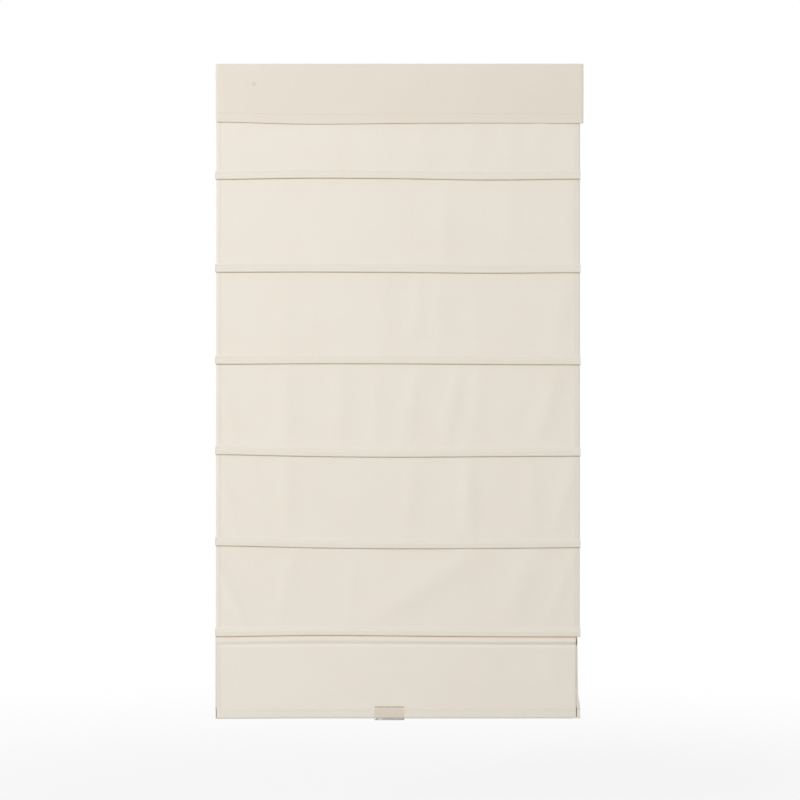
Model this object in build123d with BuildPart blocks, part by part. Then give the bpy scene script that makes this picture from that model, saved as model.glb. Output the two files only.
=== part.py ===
from build123d import *
import math
import os

# A cordless roman blind, 36 by 64 inches, fully lowered.
# Millimetres. X runs along the wall, +Y into it and +Z up. The blind hangs in front of the wall, at
# negative Y, so depths below are counted from the wall towards the room.
# The origin is the middle of the four wall holes of the two brackets, on the wall's face.

os.makedirs("parts", exist_ok=True)

# Sides of the round pieces that the cloth or the case hides, and of the small ones
hidden_sides = 18
small_sides = 12
screw_sides = 8
ring_sides = 10

# Cloth
blind_width = 905.0
valance_overhang = 3.5
valance_drop = 147.7
cloth_thickness = 0.8
side_hem_width = 12.0
# Lower edge of each tuck below the one before, the first from the valance's top, the last the hem
panel_drops = [284.9, 231.3, 227.3, 228.9, 226.8, 219.4, 204.7]
tuck_height = 15.0
tuck_slack = 0.15
tuck_shoulder_radius = 1.2
tuck_shoulder_drop = 1.0
flare_height = 4.0
hem_pocket_height = 22.0
valance_hem_height = 25.0
sewing_gap = 0.3

# Head rail, rolled from steel strip, open at the top
rail_end_margin = 4.5
rail_depth = 40.0
rail_height = 28.0
rail_wall = 0.8
rail_lip = 5.8
rail_bend_radius = 1.1
rail_setback = 4.0
cap_thickness = 2.0
cap_plug_length = 8.0
cap_plug_wall = 1.5
cap_clearance = 0.15

# Mounting brackets, pressed from spring steel
bracket_inset = 70.0
bracket_width = 32.0
bracket_sheet = 1.5
bracket_plate_height = 31.0
bracket_reach = 43.5
bracket_corner = 4.0
wall_hole_spacing = 14.0
fixing_hole_radius = 2.3
tongue_width = 11.0
tongue_window_margin = 0.6
tongue_slope = 2.0
tongue_root = 7.0
tongue_overlap = 3.6
tongue_clearance = 0.3
gusset_inset = 3.0
gusset_thickness = 1.5
gusset_height = 9.0

# Hook tape on the rail and loop tape on the cloth
tape_height = 20.0
tape_thickness = 1.4
tape_end_margin = 1.0
cloth_head_margin = 0.5

# Valance board and the clips that carry it
board_thickness = 2.4
board_height = 36.0
board_end_margin = 1.2
valance_turn_down = 30.0
valance_top_round = 0.7
valance_gap = 7.2
clip_bracket_gap = 23.0
clip_width = 18.0
clip_thickness = 1.5
clip_hook_reach = 4.2
clip_grip_height = 3.9
clip_plate_height = 25.0
clip_clearance = 0.1

# Lift unit: two cord spools and two spring drums, geared together in one row
gear_module = 1.5
gear_teeth = 20
gear_height = 4.0
gear_addendum = 1.2
gear_dedendum = 1.65
tooth_tip_width = 1.2
tooth_root_width = 3.1
drum_gap = 0.3
winding_height = 12.5
flange_height = 1.2
flange_radius = 14.5
spool_radius = 11.0
output_drum_radius = 9.0
storage_drum_radius = 6.0
post_radius = 2.5
bearing_clearance = 0.08
case_wall = 1.6
case_side_clearance = 0.8
case_corner = 2.0
case_boss_radius = 2.6
case_boss_offset = 13.6
cord_slot_width = 3.2
cord_slot_depth = 11.0

# Flat spring, wound on the output drum while the blind is down
spring_width_margin = 0.5
spring_bore_clearance = 0.2
spring_output_coil = 3.4
spring_storage_coil = 1.2
spring_ribbon = 0.4

# Screws
screw_radius = 1.3
screw_head_radius = 2.4
screw_head_height = 1.4
screw_clearance = 0.1
thread_clearance = 0.05
case_screw_length = 8.0
bar_screw_length = 6.0

# Lift cords, their guides and rings
cord_radius = 0.6
cord_inset = 150.0
cord_hole_clearance = 0.7
ring_bore_radius = 4.6
ring_wire = 1.6
ring_gap = 0.3
ring_drop = 6.4
roller_radius = 5.0
roller_groove_radius = 3.4
roller_width = 2.4
roller_pin_radius = 1.0
roller_pin_clearance = 0.02
roller_side_gap = 0.2
roller_groove_clearance = 0.15
roller_cut_margin = 1.0
cheek_thickness = 1.1
cheek_rim = 2.2
guide_base = 1.2
guide_foot_gap = 0.3
guide_neck_clearance = 0.15
guide_flange = 1.0
guide_flange_height = 0.8

# Battens, one in each tuck
batten_radius = 2.0
batten_end_margin = 4.0

# Bottom bar in the hem pocket
bar_end_margin = 8.0
bar_height = 16.0
bar_thickness = 4.0
bar_cap_wall = 0.6
bar_cap_length = 14.0
cleat_width = 12.0
cleat_thickness = 1.6
cleat_head_depth = 6.0
cleat_head_height = 11.0
cleat_tail_height = 15.0
cleat_corner = 2.0
knot_radius = 1.5
knot_height = 2.4
knot_clearance = 0.3

# Pull handle, moulded clear plastic
handle_width = 74.0
handle_offset = -21.9
handle_wall = 2.2
handle_floor = 2.2
handle_height = 33.0
handle_drop = 2.5
handle_lip = 10.0
handle_lip_rise = 3.2
handle_back_height = 16.0
handle_corner_radius = 2.0
handle_edge_radius = 0.8
handle_screw_spacing = 44.0

# Heights, worked out from the sizes above
top_height = bracket_plate_height / 2 + bracket_sheet / 2
rail_top = top_height - bracket_sheet - tongue_clearance
rail_bottom = rail_top - rail_height
rail_floor = rail_bottom + rail_wall
lip_underside = rail_top - rail_wall
cloth_head = rail_top - clip_grip_height - cloth_head_margin
tape_top = cloth_head - cloth_head_margin
tuck_bottoms = [top_height - sum(panel_drops[: i + 1]) for i in range(len(panel_drops) - 1)]
stitch_lines = [bottom + tuck_height for bottom in tuck_bottoms]
hem_bottom = top_height - sum(panel_drops)
hem_top = hem_bottom + hem_pocket_height

# Depths in front of the wall
rail_front = rail_setback + rail_depth
rail_middle = rail_setback + rail_depth / 2
cloth_back = rail_front + 2 * tape_thickness
cloth_front = cloth_back + cloth_thickness
valance_back = cloth_front + valance_gap
board_back = valance_back + cloth_thickness
board_front = board_back + board_thickness
valance_front = board_front + cloth_thickness
ring_radius = ring_bore_radius + ring_wire
cord_depth = cloth_back - ring_gap - ring_radius
bar_front = cloth_back - bar_cap_wall
bar_back = bar_front - bar_thickness
pocket_back = bar_back - bar_cap_wall - cloth_thickness

# Lengths and places along the wall, all from the blind's width
valance_width = blind_width + 2 * valance_overhang
rail_length = blind_width - 2 * rail_end_margin
bar_length = blind_width - 2 * bar_end_margin
bracket_x = rail_length / 2 - bracket_inset
clip_x = bracket_x - (bracket_width + clip_width) / 2 - clip_bracket_gap
cord_x = blind_width / 2 - cord_inset
screw_bosses = [(0, -rail_middle - case_boss_offset), (0, -rail_middle + case_boss_offset)]
sides = {"left": -1, "right": 1}


def side_view(x=0.0):
    """The plane across the blind at x: its first axis is depth, its second is height."""
    return Plane(origin=(x, 0, 0), x_dir=(0, -1, 0), z_dir=(-1, 0, 0))


def block(depths, heights, mode=Mode.ADD):
    """A rectangle of a side view, between two depths and two heights."""
    middle = (sum(depths) / 2, sum(heights) / 2)
    with Locations(middle):
        Rectangle(abs(depths[1] - depths[0]), abs(heights[1] - heights[0]), mode=mode)


# Head rail
with BuildPart() as headrail:
    with BuildSketch(side_view()) as rail_section:
        block((rail_setback, rail_front), (rail_bottom, rail_top))
        fillet(rail_section.vertices().group_by(Axis.Y)[0], rail_bend_radius)
        block(
            (rail_setback + rail_wall, rail_front - rail_wall),
            (rail_floor, lip_underside),
            Mode.SUBTRACT,
        )
        block(
            (rail_setback + rail_lip, rail_front - rail_lip),
            (lip_underside, rail_top),
            Mode.SUBTRACT,
        )
    extrude(amount=rail_length / 2, both=True)
    neck_radius = cord_radius + cord_hole_clearance + guide_flange
    with BuildSketch(Plane.XY.offset(rail_bottom)):
        with Locations((-cord_x, -cord_depth), (cord_x, -cord_depth)):
            RegularPolygon(neck_radius + guide_neck_clearance, small_sides)
        with Locations(screw_bosses):
            RegularPolygon(screw_radius + screw_clearance, screw_sides)
    extrude(amount=rail_wall, mode=Mode.SUBTRACT)
headrail.part.label = "headrail"
export_step(headrail.part, "parts/headrail.step")

# End caps of the head rail
for side, sign in sides.items():
    with BuildPart() as rail_end_cap:
        with BuildSketch(side_view(sign * rail_length / 2)) as cap_face:
            block((rail_setback, rail_front), (rail_bottom, rail_top))
            fillet(cap_face.vertices().group_by(Axis.Y)[0], rail_bend_radius)
        extrude(amount=-sign * cap_thickness)
        plug_inset = rail_wall + cap_clearance
        with BuildSketch(side_view(sign * rail_length / 2)):
            plug_depths = (rail_setback + plug_inset, rail_front - plug_inset)
            plug_heights = (rail_floor + cap_clearance, lip_underside - cap_clearance)
            block(plug_depths, plug_heights)
            block(
                (plug_depths[0] + cap_plug_wall, plug_depths[1] - cap_plug_wall),
                (plug_heights[0] + cap_plug_wall, plug_heights[1] - cap_plug_wall),
                Mode.SUBTRACT,
            )
        extrude(amount=sign * cap_plug_length)
    rail_end_cap.part.label = f"rail_end_cap_{side}"
    export_step(rail_end_cap.part, f"parts/rail_end_cap_{side}.step")


def tongue_outline(root, bend, tip):
    """Corners of a tongue: level from the root to the bend, down below the lip, level to the tip."""
    forward = 1 if tip > bend else -1
    low = lip_underside - tongue_clearance
    slope = forward * tongue_slope
    return [
        (root, top_height),
        (bend, top_height),
        (bend + slope, low),
        (tip, low),
        (tip, low - bracket_sheet),
        (bend + slope - forward * bracket_sheet / 2, low - bracket_sheet),
        (bend - forward * bracket_sheet / 2, top_height - bracket_sheet),
        (root, top_height - bracket_sheet),
    ]


# Mounting brackets: a back plate, a top plate and two tongues that spring under the rail's lips
front_tongue_tip = rail_front - rail_lip + tongue_overlap
front_tongue_bend = rail_front - rail_lip - tongue_slope - 2 * bracket_sheet
rear_tongue_tip = rail_setback + rail_lip - tongue_overlap
rear_tongue_bend = rail_setback + rail_lip + tongue_slope + 2 * bracket_sheet
for side, sign in sides.items():
    with BuildPart() as bracket:
        with BuildSketch(side_view(sign * bracket_x)):
            block((0, bracket_sheet), (top_height - bracket_plate_height, top_height))
            block((0, bracket_reach), (top_height - bracket_sheet, top_height))
        extrude(amount=bracket_width / 2, both=True)
        window = tongue_width + 2 * tongue_window_margin
        with BuildSketch(Plane.XY.offset(top_height)):
            front_window = bracket_reach - front_tongue_bend
            with Locations((sign * bracket_x, -front_tongue_bend - front_window / 2)):
                Rectangle(window, front_window)
            rear_window = rear_tongue_bend - 2 * bracket_sheet
            with Locations((sign * bracket_x, -rear_tongue_bend + rear_window / 2)):
                Rectangle(window, rear_window)
        extrude(amount=-bracket_sheet, mode=Mode.SUBTRACT)
        for bend, tip in (
            (front_tongue_bend, front_tongue_tip),
            (rear_tongue_bend, rear_tongue_tip),
        ):
            root = bend + tongue_root if tip < bend else bend - tongue_root
            with BuildSketch(side_view(sign * bracket_x)):
                with BuildLine():
                    Polyline(tongue_outline(root, bend, tip), close=True)
                make_face()
            extrude(amount=tongue_width / 2, both=True)
        chamfer(bracket.edges().filter_by(Axis.Y).group_by(Axis.Z)[0], bracket_corner)
        for offset in (-1, 1):
            gusset_x = sign * bracket_x + offset * (bracket_width / 2 - gusset_inset)
            with BuildSketch(side_view(gusset_x)):
                block(
                    (bracket_sheet, rail_setback - tongue_clearance),
                    (rail_top - gusset_height, top_height - bracket_sheet),
                )
            extrude(amount=gusset_thickness / 2, both=True)
        with BuildSketch(Plane.XZ):
            with Locations(
                (sign * bracket_x, wall_hole_spacing / 2),
                (sign * bracket_x, -wall_hole_spacing / 2),
            ):
                Circle(fixing_hole_radius)
        extrude(amount=bracket_sheet, mode=Mode.SUBTRACT)
        with BuildSketch(Plane.XY.offset(top_height)):
            with Locations((sign * bracket_x, -rail_middle)):
                Circle(fixing_hole_radius)
        extrude(amount=-bracket_sheet, mode=Mode.SUBTRACT)
    bracket.part.label = f"bracket_{side}"
    export_step(bracket.part, f"parts/bracket_{side}.step")

# Hook tape stuck to the rail's front, loop tape sewn to the cloth's head
tape_length = blind_width - 2 * side_hem_width - 2 * tape_end_margin
for name, depth in (("hook_tape", rail_front), ("loop_tape", rail_front + tape_thickness)):
    with BuildPart() as tape:
        with BuildSketch(Plane.XZ.offset(depth)):
            with Locations((0, tape_top - tape_height / 2)):
                Rectangle(tape_length, tape_height)
        extrude(amount=tape_thickness)
    tape.part.label = name
    export_step(tape.part, f"parts/{name}.step")

# Valance clips: each hooks round the rail's front lip and holds the board in front of the cloth
with BuildPart() as valance_clips:
    lip_edge = rail_front - rail_lip
    hook_back = lip_edge - clip_clearance - clip_thickness
    bridge_low = rail_top + clip_clearance
    hook_low = lip_underside - clip_clearance - clip_thickness
    grip_back = rail_front + clip_clearance
    plate_top = bridge_low + clip_thickness
    for x in (-clip_x, 0, clip_x):
        with BuildSketch(side_view(x)):
            block((hook_back, lip_edge + clip_hook_reach), (hook_low, hook_low + clip_thickness))
            block((hook_back, hook_back + clip_thickness), (hook_low, bridge_low))
            block((hook_back, valance_back), (bridge_low, bridge_low + clip_thickness))
            block((grip_back, grip_back + clip_thickness), (rail_top - clip_grip_height, bridge_low))
            block((valance_back - clip_thickness, valance_back), (plate_top - clip_plate_height, plate_top))
        extrude(amount=clip_width / 2, both=True)
valance_clips.part.label = "valance_clips"
export_step(valance_clips.part, "parts/valance_clips.step")

# Valance board: a stiff strip that the valance is folded over
board_top = top_height - cloth_thickness
with BuildPart() as valance_board:
    with BuildSketch(side_view()):
        block((board_back, board_front), (board_top - board_height, board_top))
    extrude(amount=valance_width / 2 - board_end_margin, both=True)
valance_board.part.label = "valance_board"
export_step(valance_board.part, "parts/valance_board.step")

# Valance: one layer in front, folded over the board and down behind it, with a turned hem
with BuildPart() as valance:
    valance_bottom = top_height - valance_drop
    with BuildSketch(side_view()) as valance_section:
        block((valance_back, valance_front), (board_top, top_height))
        block((valance_back, board_back), (top_height - valance_turn_down, top_height))
        block((board_front, valance_front), (valance_bottom, top_height))
        block((board_front - cloth_thickness, board_front), (valance_bottom, valance_bottom + valance_hem_height))
        fillet(valance_section.vertices().group_by(Axis.Y)[-1], valance_top_round)
    extrude(amount=valance_width / 2, both=True)
    for sign in sides.values():
        with BuildSketch(side_view(sign * (valance_width - side_hem_width) / 2)):
            block(
                (board_front - cloth_thickness, board_front),
                (valance_bottom, board_top - board_height - sewing_gap),
            )
        extrude(amount=side_hem_width / 2, both=True)
valance.part.label = "valance"
export_step(valance.part, "parts/valance.step")

# Face cloth, parted at its stitch lines: each panel hangs from the tuck above it
panel_tops = [cloth_head] + stitch_lines
panel_ends = [line + flare_height + sewing_gap for line in stitch_lines] + [hem_top + sewing_gap]
for i, (panel_top, panel_end) in enumerate(zip(panel_tops, panel_ends)):
    with BuildPart() as face_panel:
        with BuildSketch(side_view()):
            block((cloth_back, cloth_front), (panel_end, panel_top))
        extrude(amount=blind_width / 2, both=True)
        for sign in sides.values():
            with BuildSketch(side_view(sign * (blind_width - side_hem_width) / 2)):
                block((cloth_back - cloth_thickness, cloth_back), (panel_end, panel_top))
            extrude(amount=side_hem_width / 2, both=True)
    face_panel.part.label = f"face_panel_{i + 1}"
    export_step(face_panel.part, f"parts/face_panel_{i + 1}.step")

# Tucks, battens and rings: at each stitch line the cloth flares out over a shoulder, hangs in front
# with a rod in its foot and returns behind, and two rings are sewn on behind it for the cords
loop_radius = batten_radius + tuck_slack + cloth_thickness
shoulder_depth = cloth_front + 2 * loop_radius - tuck_shoulder_radius
tuck_seam_depth = cloth_front + cloth_thickness
for i, (tuck_bottom, stitch_line) in enumerate(zip(tuck_bottoms, stitch_lines)):
    rod_centre = (cloth_front + loop_radius, tuck_bottom + loop_radius)
    shoulder_centre = (shoulder_depth, stitch_line - tuck_shoulder_drop - tuck_shoulder_radius)
    seam_centre = (tuck_seam_depth, stitch_line + flare_height - cloth_thickness)
    with BuildPart() as tuck:
        with BuildSketch(side_view()):
            with Locations(rod_centre):
                RegularPolygon(loop_radius, hidden_sides)
            with Locations(shoulder_centre):
                RegularPolygon(tuck_shoulder_radius, screw_sides)
            with Locations(seam_centre):
                RegularPolygon(cloth_thickness, screw_sides)
            make_hull()
            Polygon(
                (cloth_back, stitch_line + flare_height),
                (tuck_seam_depth, stitch_line + flare_height),
                (tuck_seam_depth, stitch_line),
                (cloth_front, stitch_line),
                align=None,
            )
        extrude(amount=blind_width / 2, both=True)
        with BuildSketch(side_view()):
            with Locations(rod_centre):
                RegularPolygon(loop_radius - cloth_thickness, small_sides)
            with Locations(shoulder_centre, seam_centre):
                Rectangle(tuck_slack, tuck_slack)
            make_hull()
        extrude(amount=blind_width / 2, both=True, mode=Mode.SUBTRACT)
    tuck.part.label = f"tuck_{i + 1}"
    export_step(tuck.part, f"parts/tuck_{i + 1}.step")

    with BuildPart() as batten:
        with BuildSketch(side_view()):
            with Locations(rod_centre):
                RegularPolygon(batten_radius, small_sides)
        extrude(amount=blind_width / 2 - batten_end_margin, both=True)
    batten.part.label = f"batten_{i + 1}"
    export_step(batten.part, f"parts/batten_{i + 1}.step")

    with BuildPart() as cord_rings:
        with BuildSketch(Plane.XY.offset(stitch_line - ring_drop - ring_wire / 2)):
            with Locations((-cord_x, -cord_depth), (cord_x, -cord_depth)):
                RegularPolygon(ring_radius, ring_sides)
                RegularPolygon(ring_bore_radius, ring_sides, mode=Mode.SUBTRACT)
        extrude(amount=ring_wire)
    cord_rings.part.label = f"cord_rings_{i + 1}"
    export_step(cord_rings.part, f"parts/cord_rings_{i + 1}.step")

# Lift unit's case
pitch_radius = gear_module * gear_teeth / 2
tip_radius = pitch_radius + gear_addendum
axle_pitch = 2 * pitch_radius
axle_x = [(i - 1.5) * axle_pitch for i in range(4)]
case_inner_length = axle_x[3] - axle_x[0] + 2 * (tip_radius + case_side_clearance)
case_inner_depth = 2 * (tip_radius + case_side_clearance)
case_floor = rail_floor + case_wall
drum_bottom = case_floor + drum_gap
gear_top = drum_bottom + gear_height
winding_top = gear_top + winding_height
case_top = winding_top + flange_height + drum_gap
axles = [(x, -rail_middle) for x in axle_x]

# The cord's run in the rail: tangent to the spool, over the roller, then straight down
cord_wrap_radius = spool_radius + cord_radius + spring_bore_clearance
roller_wrap_radius = roller_groove_radius + cord_radius + roller_side_gap
roller_height = rail_floor + guide_base + guide_foot_gap + roller_radius
cord_run_height = roller_height + roller_wrap_radius
roller_x = cord_x - roller_wrap_radius
reach_x = roller_x - axle_x[3]
reach_y = rail_middle - cord_depth
run_angle = math.atan2(reach_y, reach_x) + math.asin(cord_wrap_radius / math.hypot(reach_x, reach_y))
run_x = math.cos(run_angle)
run_y = math.sin(run_angle)
wall_distance = case_inner_length / 2 - axle_x[3]
cord_slot_y = -rail_middle - cord_wrap_radius + wall_distance * math.tan(run_angle)

with BuildPart() as lift_unit_case:
    with BuildSketch(Plane.XY.offset(rail_floor)) as case_outline:
        with Locations((0, -rail_middle)):
            Rectangle(case_inner_length + 2 * case_wall, case_inner_depth + 2 * case_wall)
        chamfer(case_outline.vertices(), case_corner)
    extrude(amount=case_top - rail_floor)
    with BuildSketch(Plane.XY.offset(case_floor)):
        with Locations((0, -rail_middle)):
            Rectangle(case_inner_length, case_inner_depth)
    extrude(amount=case_top - case_floor, mode=Mode.SUBTRACT)
    with BuildSketch(Plane.XY.offset(case_floor)):
        with Locations(axles):
            RegularPolygon(post_radius, small_sides)
        with Locations(screw_bosses):
            RegularPolygon(case_boss_radius, small_sides)
    extrude(amount=case_top - case_floor)
    with BuildSketch(Plane.XY.offset(rail_floor)):
        with Locations(screw_bosses):
            RegularPolygon(screw_radius + thread_clearance, screw_sides)
    extrude(amount=case_top - rail_floor, mode=Mode.SUBTRACT)
    with BuildSketch(Plane.XY.offset(case_top)):
        for sign in sides.values():
            with Locations((sign * (case_inner_length + case_wall) / 2, cord_slot_y)):
                Rectangle(2 * case_wall, cord_slot_width)
    extrude(amount=-cord_slot_depth, mode=Mode.SUBTRACT)
lift_unit_case.part.label = "lift_unit_case"
export_step(lift_unit_case.part, "parts/lift_unit_case.step")

# Lift unit's cover
with BuildPart() as lift_unit_cover:
    with BuildSketch(Plane.XY.offset(case_top)) as cover_outline:
        with Locations((0, -rail_middle)):
            Rectangle(case_inner_length + 2 * case_wall, case_inner_depth + 2 * case_wall)
        chamfer(cover_outline.vertices(), case_corner)
        with Locations(screw_bosses):
            RegularPolygon(screw_radius + screw_clearance, screw_sides, mode=Mode.SUBTRACT)
    extrude(amount=case_wall)
lift_unit_cover.part.label = "lift_unit_cover"
export_step(lift_unit_cover.part, "parts/lift_unit_cover.step")

# Spools and drums: each is a gear and a core in one moulded piece, the cord spools with a flange
drums = [
    ("cord_spool_left", spool_radius),
    ("spring_drum_output", output_drum_radius),
    ("spring_drum_storage", storage_drum_radius),
    ("cord_spool_right", spool_radius),
]
root_radius = pitch_radius - gear_dedendum


def gear_outline(turn):
    """Corners of a gear with straight flanks, four to a tooth, turned by a share of one tooth."""
    corners = []
    for tooth in range(gear_teeth):
        middle = 2 * math.pi * (tooth + turn) / gear_teeth
        for radius, width in (
            (root_radius, -tooth_root_width),
            (tip_radius, -tooth_tip_width),
            (tip_radius, tooth_tip_width),
            (root_radius, tooth_root_width),
        ):
            angle = middle + width / 2 / radius
            corners.append((radius * math.cos(angle), radius * math.sin(angle)))
    return corners


for i, (name, core_radius) in enumerate(drums):
    with BuildPart() as drum:
        with BuildSketch(Plane.XY.offset(drum_bottom)):
            with Locations(axles[i]):
                # Every second gear is turned by half a tooth, so that teeth meet gaps
                Polygon(*gear_outline(turn=i % 2 / 2), align=None)
        extrude(amount=gear_height)
        with BuildSketch(Plane.XY.offset(gear_top)):
            with Locations(axles[i]):
                RegularPolygon(core_radius, hidden_sides)
        extrude(amount=winding_height)
        if name.startswith("cord_spool"):
            with BuildSketch(Plane.XY.offset(winding_top)):
                with Locations(axles[i]):
                    RegularPolygon(flange_radius, hidden_sides)
            extrude(amount=flange_height)
        with BuildSketch(Plane.XY.offset(drum_bottom)):
            with Locations(axles[i]):
                Circle(post_radius + bearing_clearance)
        extrude(amount=winding_top + flange_height - drum_bottom, mode=Mode.SUBTRACT)
    drum.part.label = name
    export_step(drum.part, f"parts/{name}.step")

# Flat spring: coiled on both drums, its run crossing between them because the drums turn opposite ways
with BuildPart() as lift_spring:
    output_inner = output_drum_radius + spring_bore_clearance
    storage_inner = storage_drum_radius + spring_bore_clearance
    output_outer = output_inner + spring_output_coil
    storage_outer = storage_inner + spring_storage_coil
    # The run touches the outside of one coil and the far side of the other
    crossing = math.asin((output_outer + storage_outer - spring_ribbon) / axle_pitch)
    run_length = axle_pitch * math.cos(crossing)
    touch = output_outer - spring_ribbon / 2
    run_middle = (
        axles[1][0] + touch * math.sin(crossing) + run_length / 2 * math.cos(crossing),
        axles[1][1] + touch * math.cos(crossing) - run_length / 2 * math.sin(crossing),
    )
    with BuildSketch(Plane.XY.offset(gear_top + spring_width_margin)):
        with Locations(axles[1]):
            RegularPolygon(output_outer, hidden_sides)
        with Locations(axles[2]):
            RegularPolygon(storage_outer, hidden_sides)
        with Locations(Location(run_middle, -math.degrees(crossing))):
            Rectangle(run_length, spring_ribbon)
        with Locations(axles[1]):
            RegularPolygon(output_inner, hidden_sides, major_radius=False, mode=Mode.SUBTRACT)
        with Locations(axles[2]):
            RegularPolygon(storage_inner, hidden_sides, major_radius=False, mode=Mode.SUBTRACT)
    extrude(amount=winding_height - 2 * spring_width_margin)
lift_spring.part.label = "lift_spring"
export_step(lift_spring.part, "parts/lift_spring.step")

# Screws of the lift unit: two down through the cover, two up through the rail
cover_top = case_top + case_wall
with BuildPart() as lift_unit_screws:
    for seat, into in ((cover_top, -1), (rail_bottom, 1)):
        with BuildSketch(Plane.XY.offset(seat)):
            with Locations(screw_bosses):
                RegularPolygon(screw_head_radius, screw_sides)
        extrude(amount=-into * screw_head_height)
        with BuildSketch(Plane.XY.offset(seat)):
            with Locations(screw_bosses):
                RegularPolygon(screw_radius, screw_sides)
        extrude(amount=into * case_screw_length)
lift_unit_screws.part.label = "lift_unit_screws"
export_step(lift_unit_screws.part, "parts/lift_unit_screws.step")

# Cord guides: a foot on the rail's floor with two cheeks for the roller's pin, and a neck through
# the rail with a flange below it
for side, sign in sides.items():
    cheek_inside = roller_width / 2 + roller_side_gap
    cheek_outside = cheek_inside + cheek_thickness
    foot_end = cord_x + neck_radius
    foot_start = roller_x - roller_radius
    foot_middle = (foot_start + foot_end) / 2
    with BuildPart() as cord_guide:
        with BuildSketch(Plane.XY.offset(rail_floor)):
            with Locations((sign * foot_middle, -cord_depth)):
                Rectangle(foot_end - foot_start, 2 * cheek_outside)
        extrude(amount=guide_base)
        with BuildSketch(Plane.XY.offset(rail_floor)):
            with Locations((sign * cord_x, -cord_depth)):
                RegularPolygon(neck_radius, small_sides)
        extrude(amount=-rail_wall)
        with BuildSketch(Plane.XY.offset(rail_bottom)):
            with Locations((sign * cord_x, -cord_depth)):
                RegularPolygon(neck_radius + guide_flange, small_sides)
        extrude(amount=-guide_flange_height)
        for cheek in (-cheek_outside, cheek_inside):
            with BuildSketch(Plane.XZ.offset(cord_depth + cheek)):
                Polygon(
                    (sign * roller_x - cheek_rim, roller_height + cheek_rim),
                    (sign * roller_x + cheek_rim, roller_height + cheek_rim),
                    (sign * roller_x + 2 * cheek_rim, rail_floor + guide_base),
                    (sign * roller_x - 2 * cheek_rim, rail_floor + guide_base),
                    align=None,
                )
                with Locations((sign * roller_x, roller_height)):
                    RegularPolygon(
                        roller_pin_radius + roller_pin_clearance, small_sides, mode=Mode.SUBTRACT
                    )
            extrude(amount=cheek_thickness)
        with BuildSketch(Plane.XY.offset(rail_floor + guide_base)):
            with Locations((sign * cord_x, -cord_depth)):
                RegularPolygon(cord_radius + cord_hole_clearance, small_sides)
        extrude(
            amount=-guide_base - rail_wall - guide_flange_height,
            mode=Mode.SUBTRACT,
        )
    cord_guide.part.label = f"cord_guide_{side}"
    export_step(cord_guide.part, f"parts/cord_guide_{side}.step")

    with BuildPart() as cord_roller:
        groove_width = 2 * (cord_radius + roller_groove_clearance)
        with BuildSketch(Plane.XZ.offset(cord_depth)):
            with Locations((sign * roller_x, roller_height)):
                RegularPolygon(roller_radius, hidden_sides)
        extrude(amount=roller_width / 2, both=True)
        with BuildSketch(Plane.XZ.offset(cord_depth)):
            with Locations((sign * roller_x, roller_height)):
                RegularPolygon(roller_radius + roller_cut_margin, hidden_sides)
                RegularPolygon(roller_groove_radius, hidden_sides, mode=Mode.SUBTRACT)
        extrude(amount=groove_width / 2, both=True, mode=Mode.SUBTRACT)
        with BuildSketch(Plane.XZ.offset(cord_depth)):
            with Locations((sign * roller_x, roller_height)):
                Circle(roller_pin_radius + bearing_clearance)
        extrude(amount=roller_width / 2, both=True, mode=Mode.SUBTRACT)
    cord_roller.part.label = f"cord_roller_{side}"
    export_step(cord_roller.part, f"parts/cord_roller_{side}.step")

    with BuildPart() as roller_pin:
        with BuildSketch(Plane.XZ.offset(cord_depth)):
            with Locations((sign * roller_x, roller_height)):
                RegularPolygon(roller_pin_radius, small_sides)
        extrude(amount=cheek_outside, both=True)
    roller_pin.part.label = f"roller_pin_{side}"
    export_step(roller_pin.part, f"parts/roller_pin_{side}.step")

# Lift cords: half a turn on the spool, along the rail, over the roller and down to a knot in the cleat
cleat_head_bottom = hem_top + sewing_gap
cleat_head_top = cleat_head_bottom + cleat_head_height
for side, sign in sides.items():
    behind = (
        sign * (axle_x[3] - cord_wrap_radius * run_y),
        -rail_middle + cord_wrap_radius * run_x,
        cord_run_height,
    )
    beside = (
        sign * (axle_x[3] - cord_wrap_radius * run_x),
        -rail_middle - cord_wrap_radius * run_y,
        cord_run_height,
    )
    leave = (
        sign * (axle_x[3] + cord_wrap_radius * run_y),
        -rail_middle - cord_wrap_radius * run_x,
        cord_run_height,
    )
    meet = (sign * roller_x, -cord_depth, cord_run_height)
    turned_x = sign * (roller_x + roller_wrap_radius * run_x)
    turned_y = -cord_depth + roller_wrap_radius * run_y
    with BuildPart() as lift_cord:
        with BuildLine() as cord_path:
            ThreePointArc(behind, beside, leave)
            Line(leave, meet)
            TangentArc(meet, (turned_x, turned_y, roller_height), tangent=(sign * run_x, run_y, 0))
            Line((turned_x, turned_y, roller_height), (turned_x, turned_y, cleat_head_bottom))
        with BuildSketch(Plane(origin=cord_path.line @ 0, z_dir=cord_path.line % 0)):
            RegularPolygon(cord_radius, small_sides // 2)
        sweep(path=cord_path.line)
        with BuildSketch(Plane.XY.offset(cleat_head_bottom)):
            with Locations((turned_x, turned_y)):
                RegularPolygon(knot_radius, small_sides)
        extrude(amount=knot_height)
    lift_cord.part.label = f"lift_cord_{side}"
    export_step(lift_cord.part, f"parts/lift_cord_{side}.step")

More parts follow.
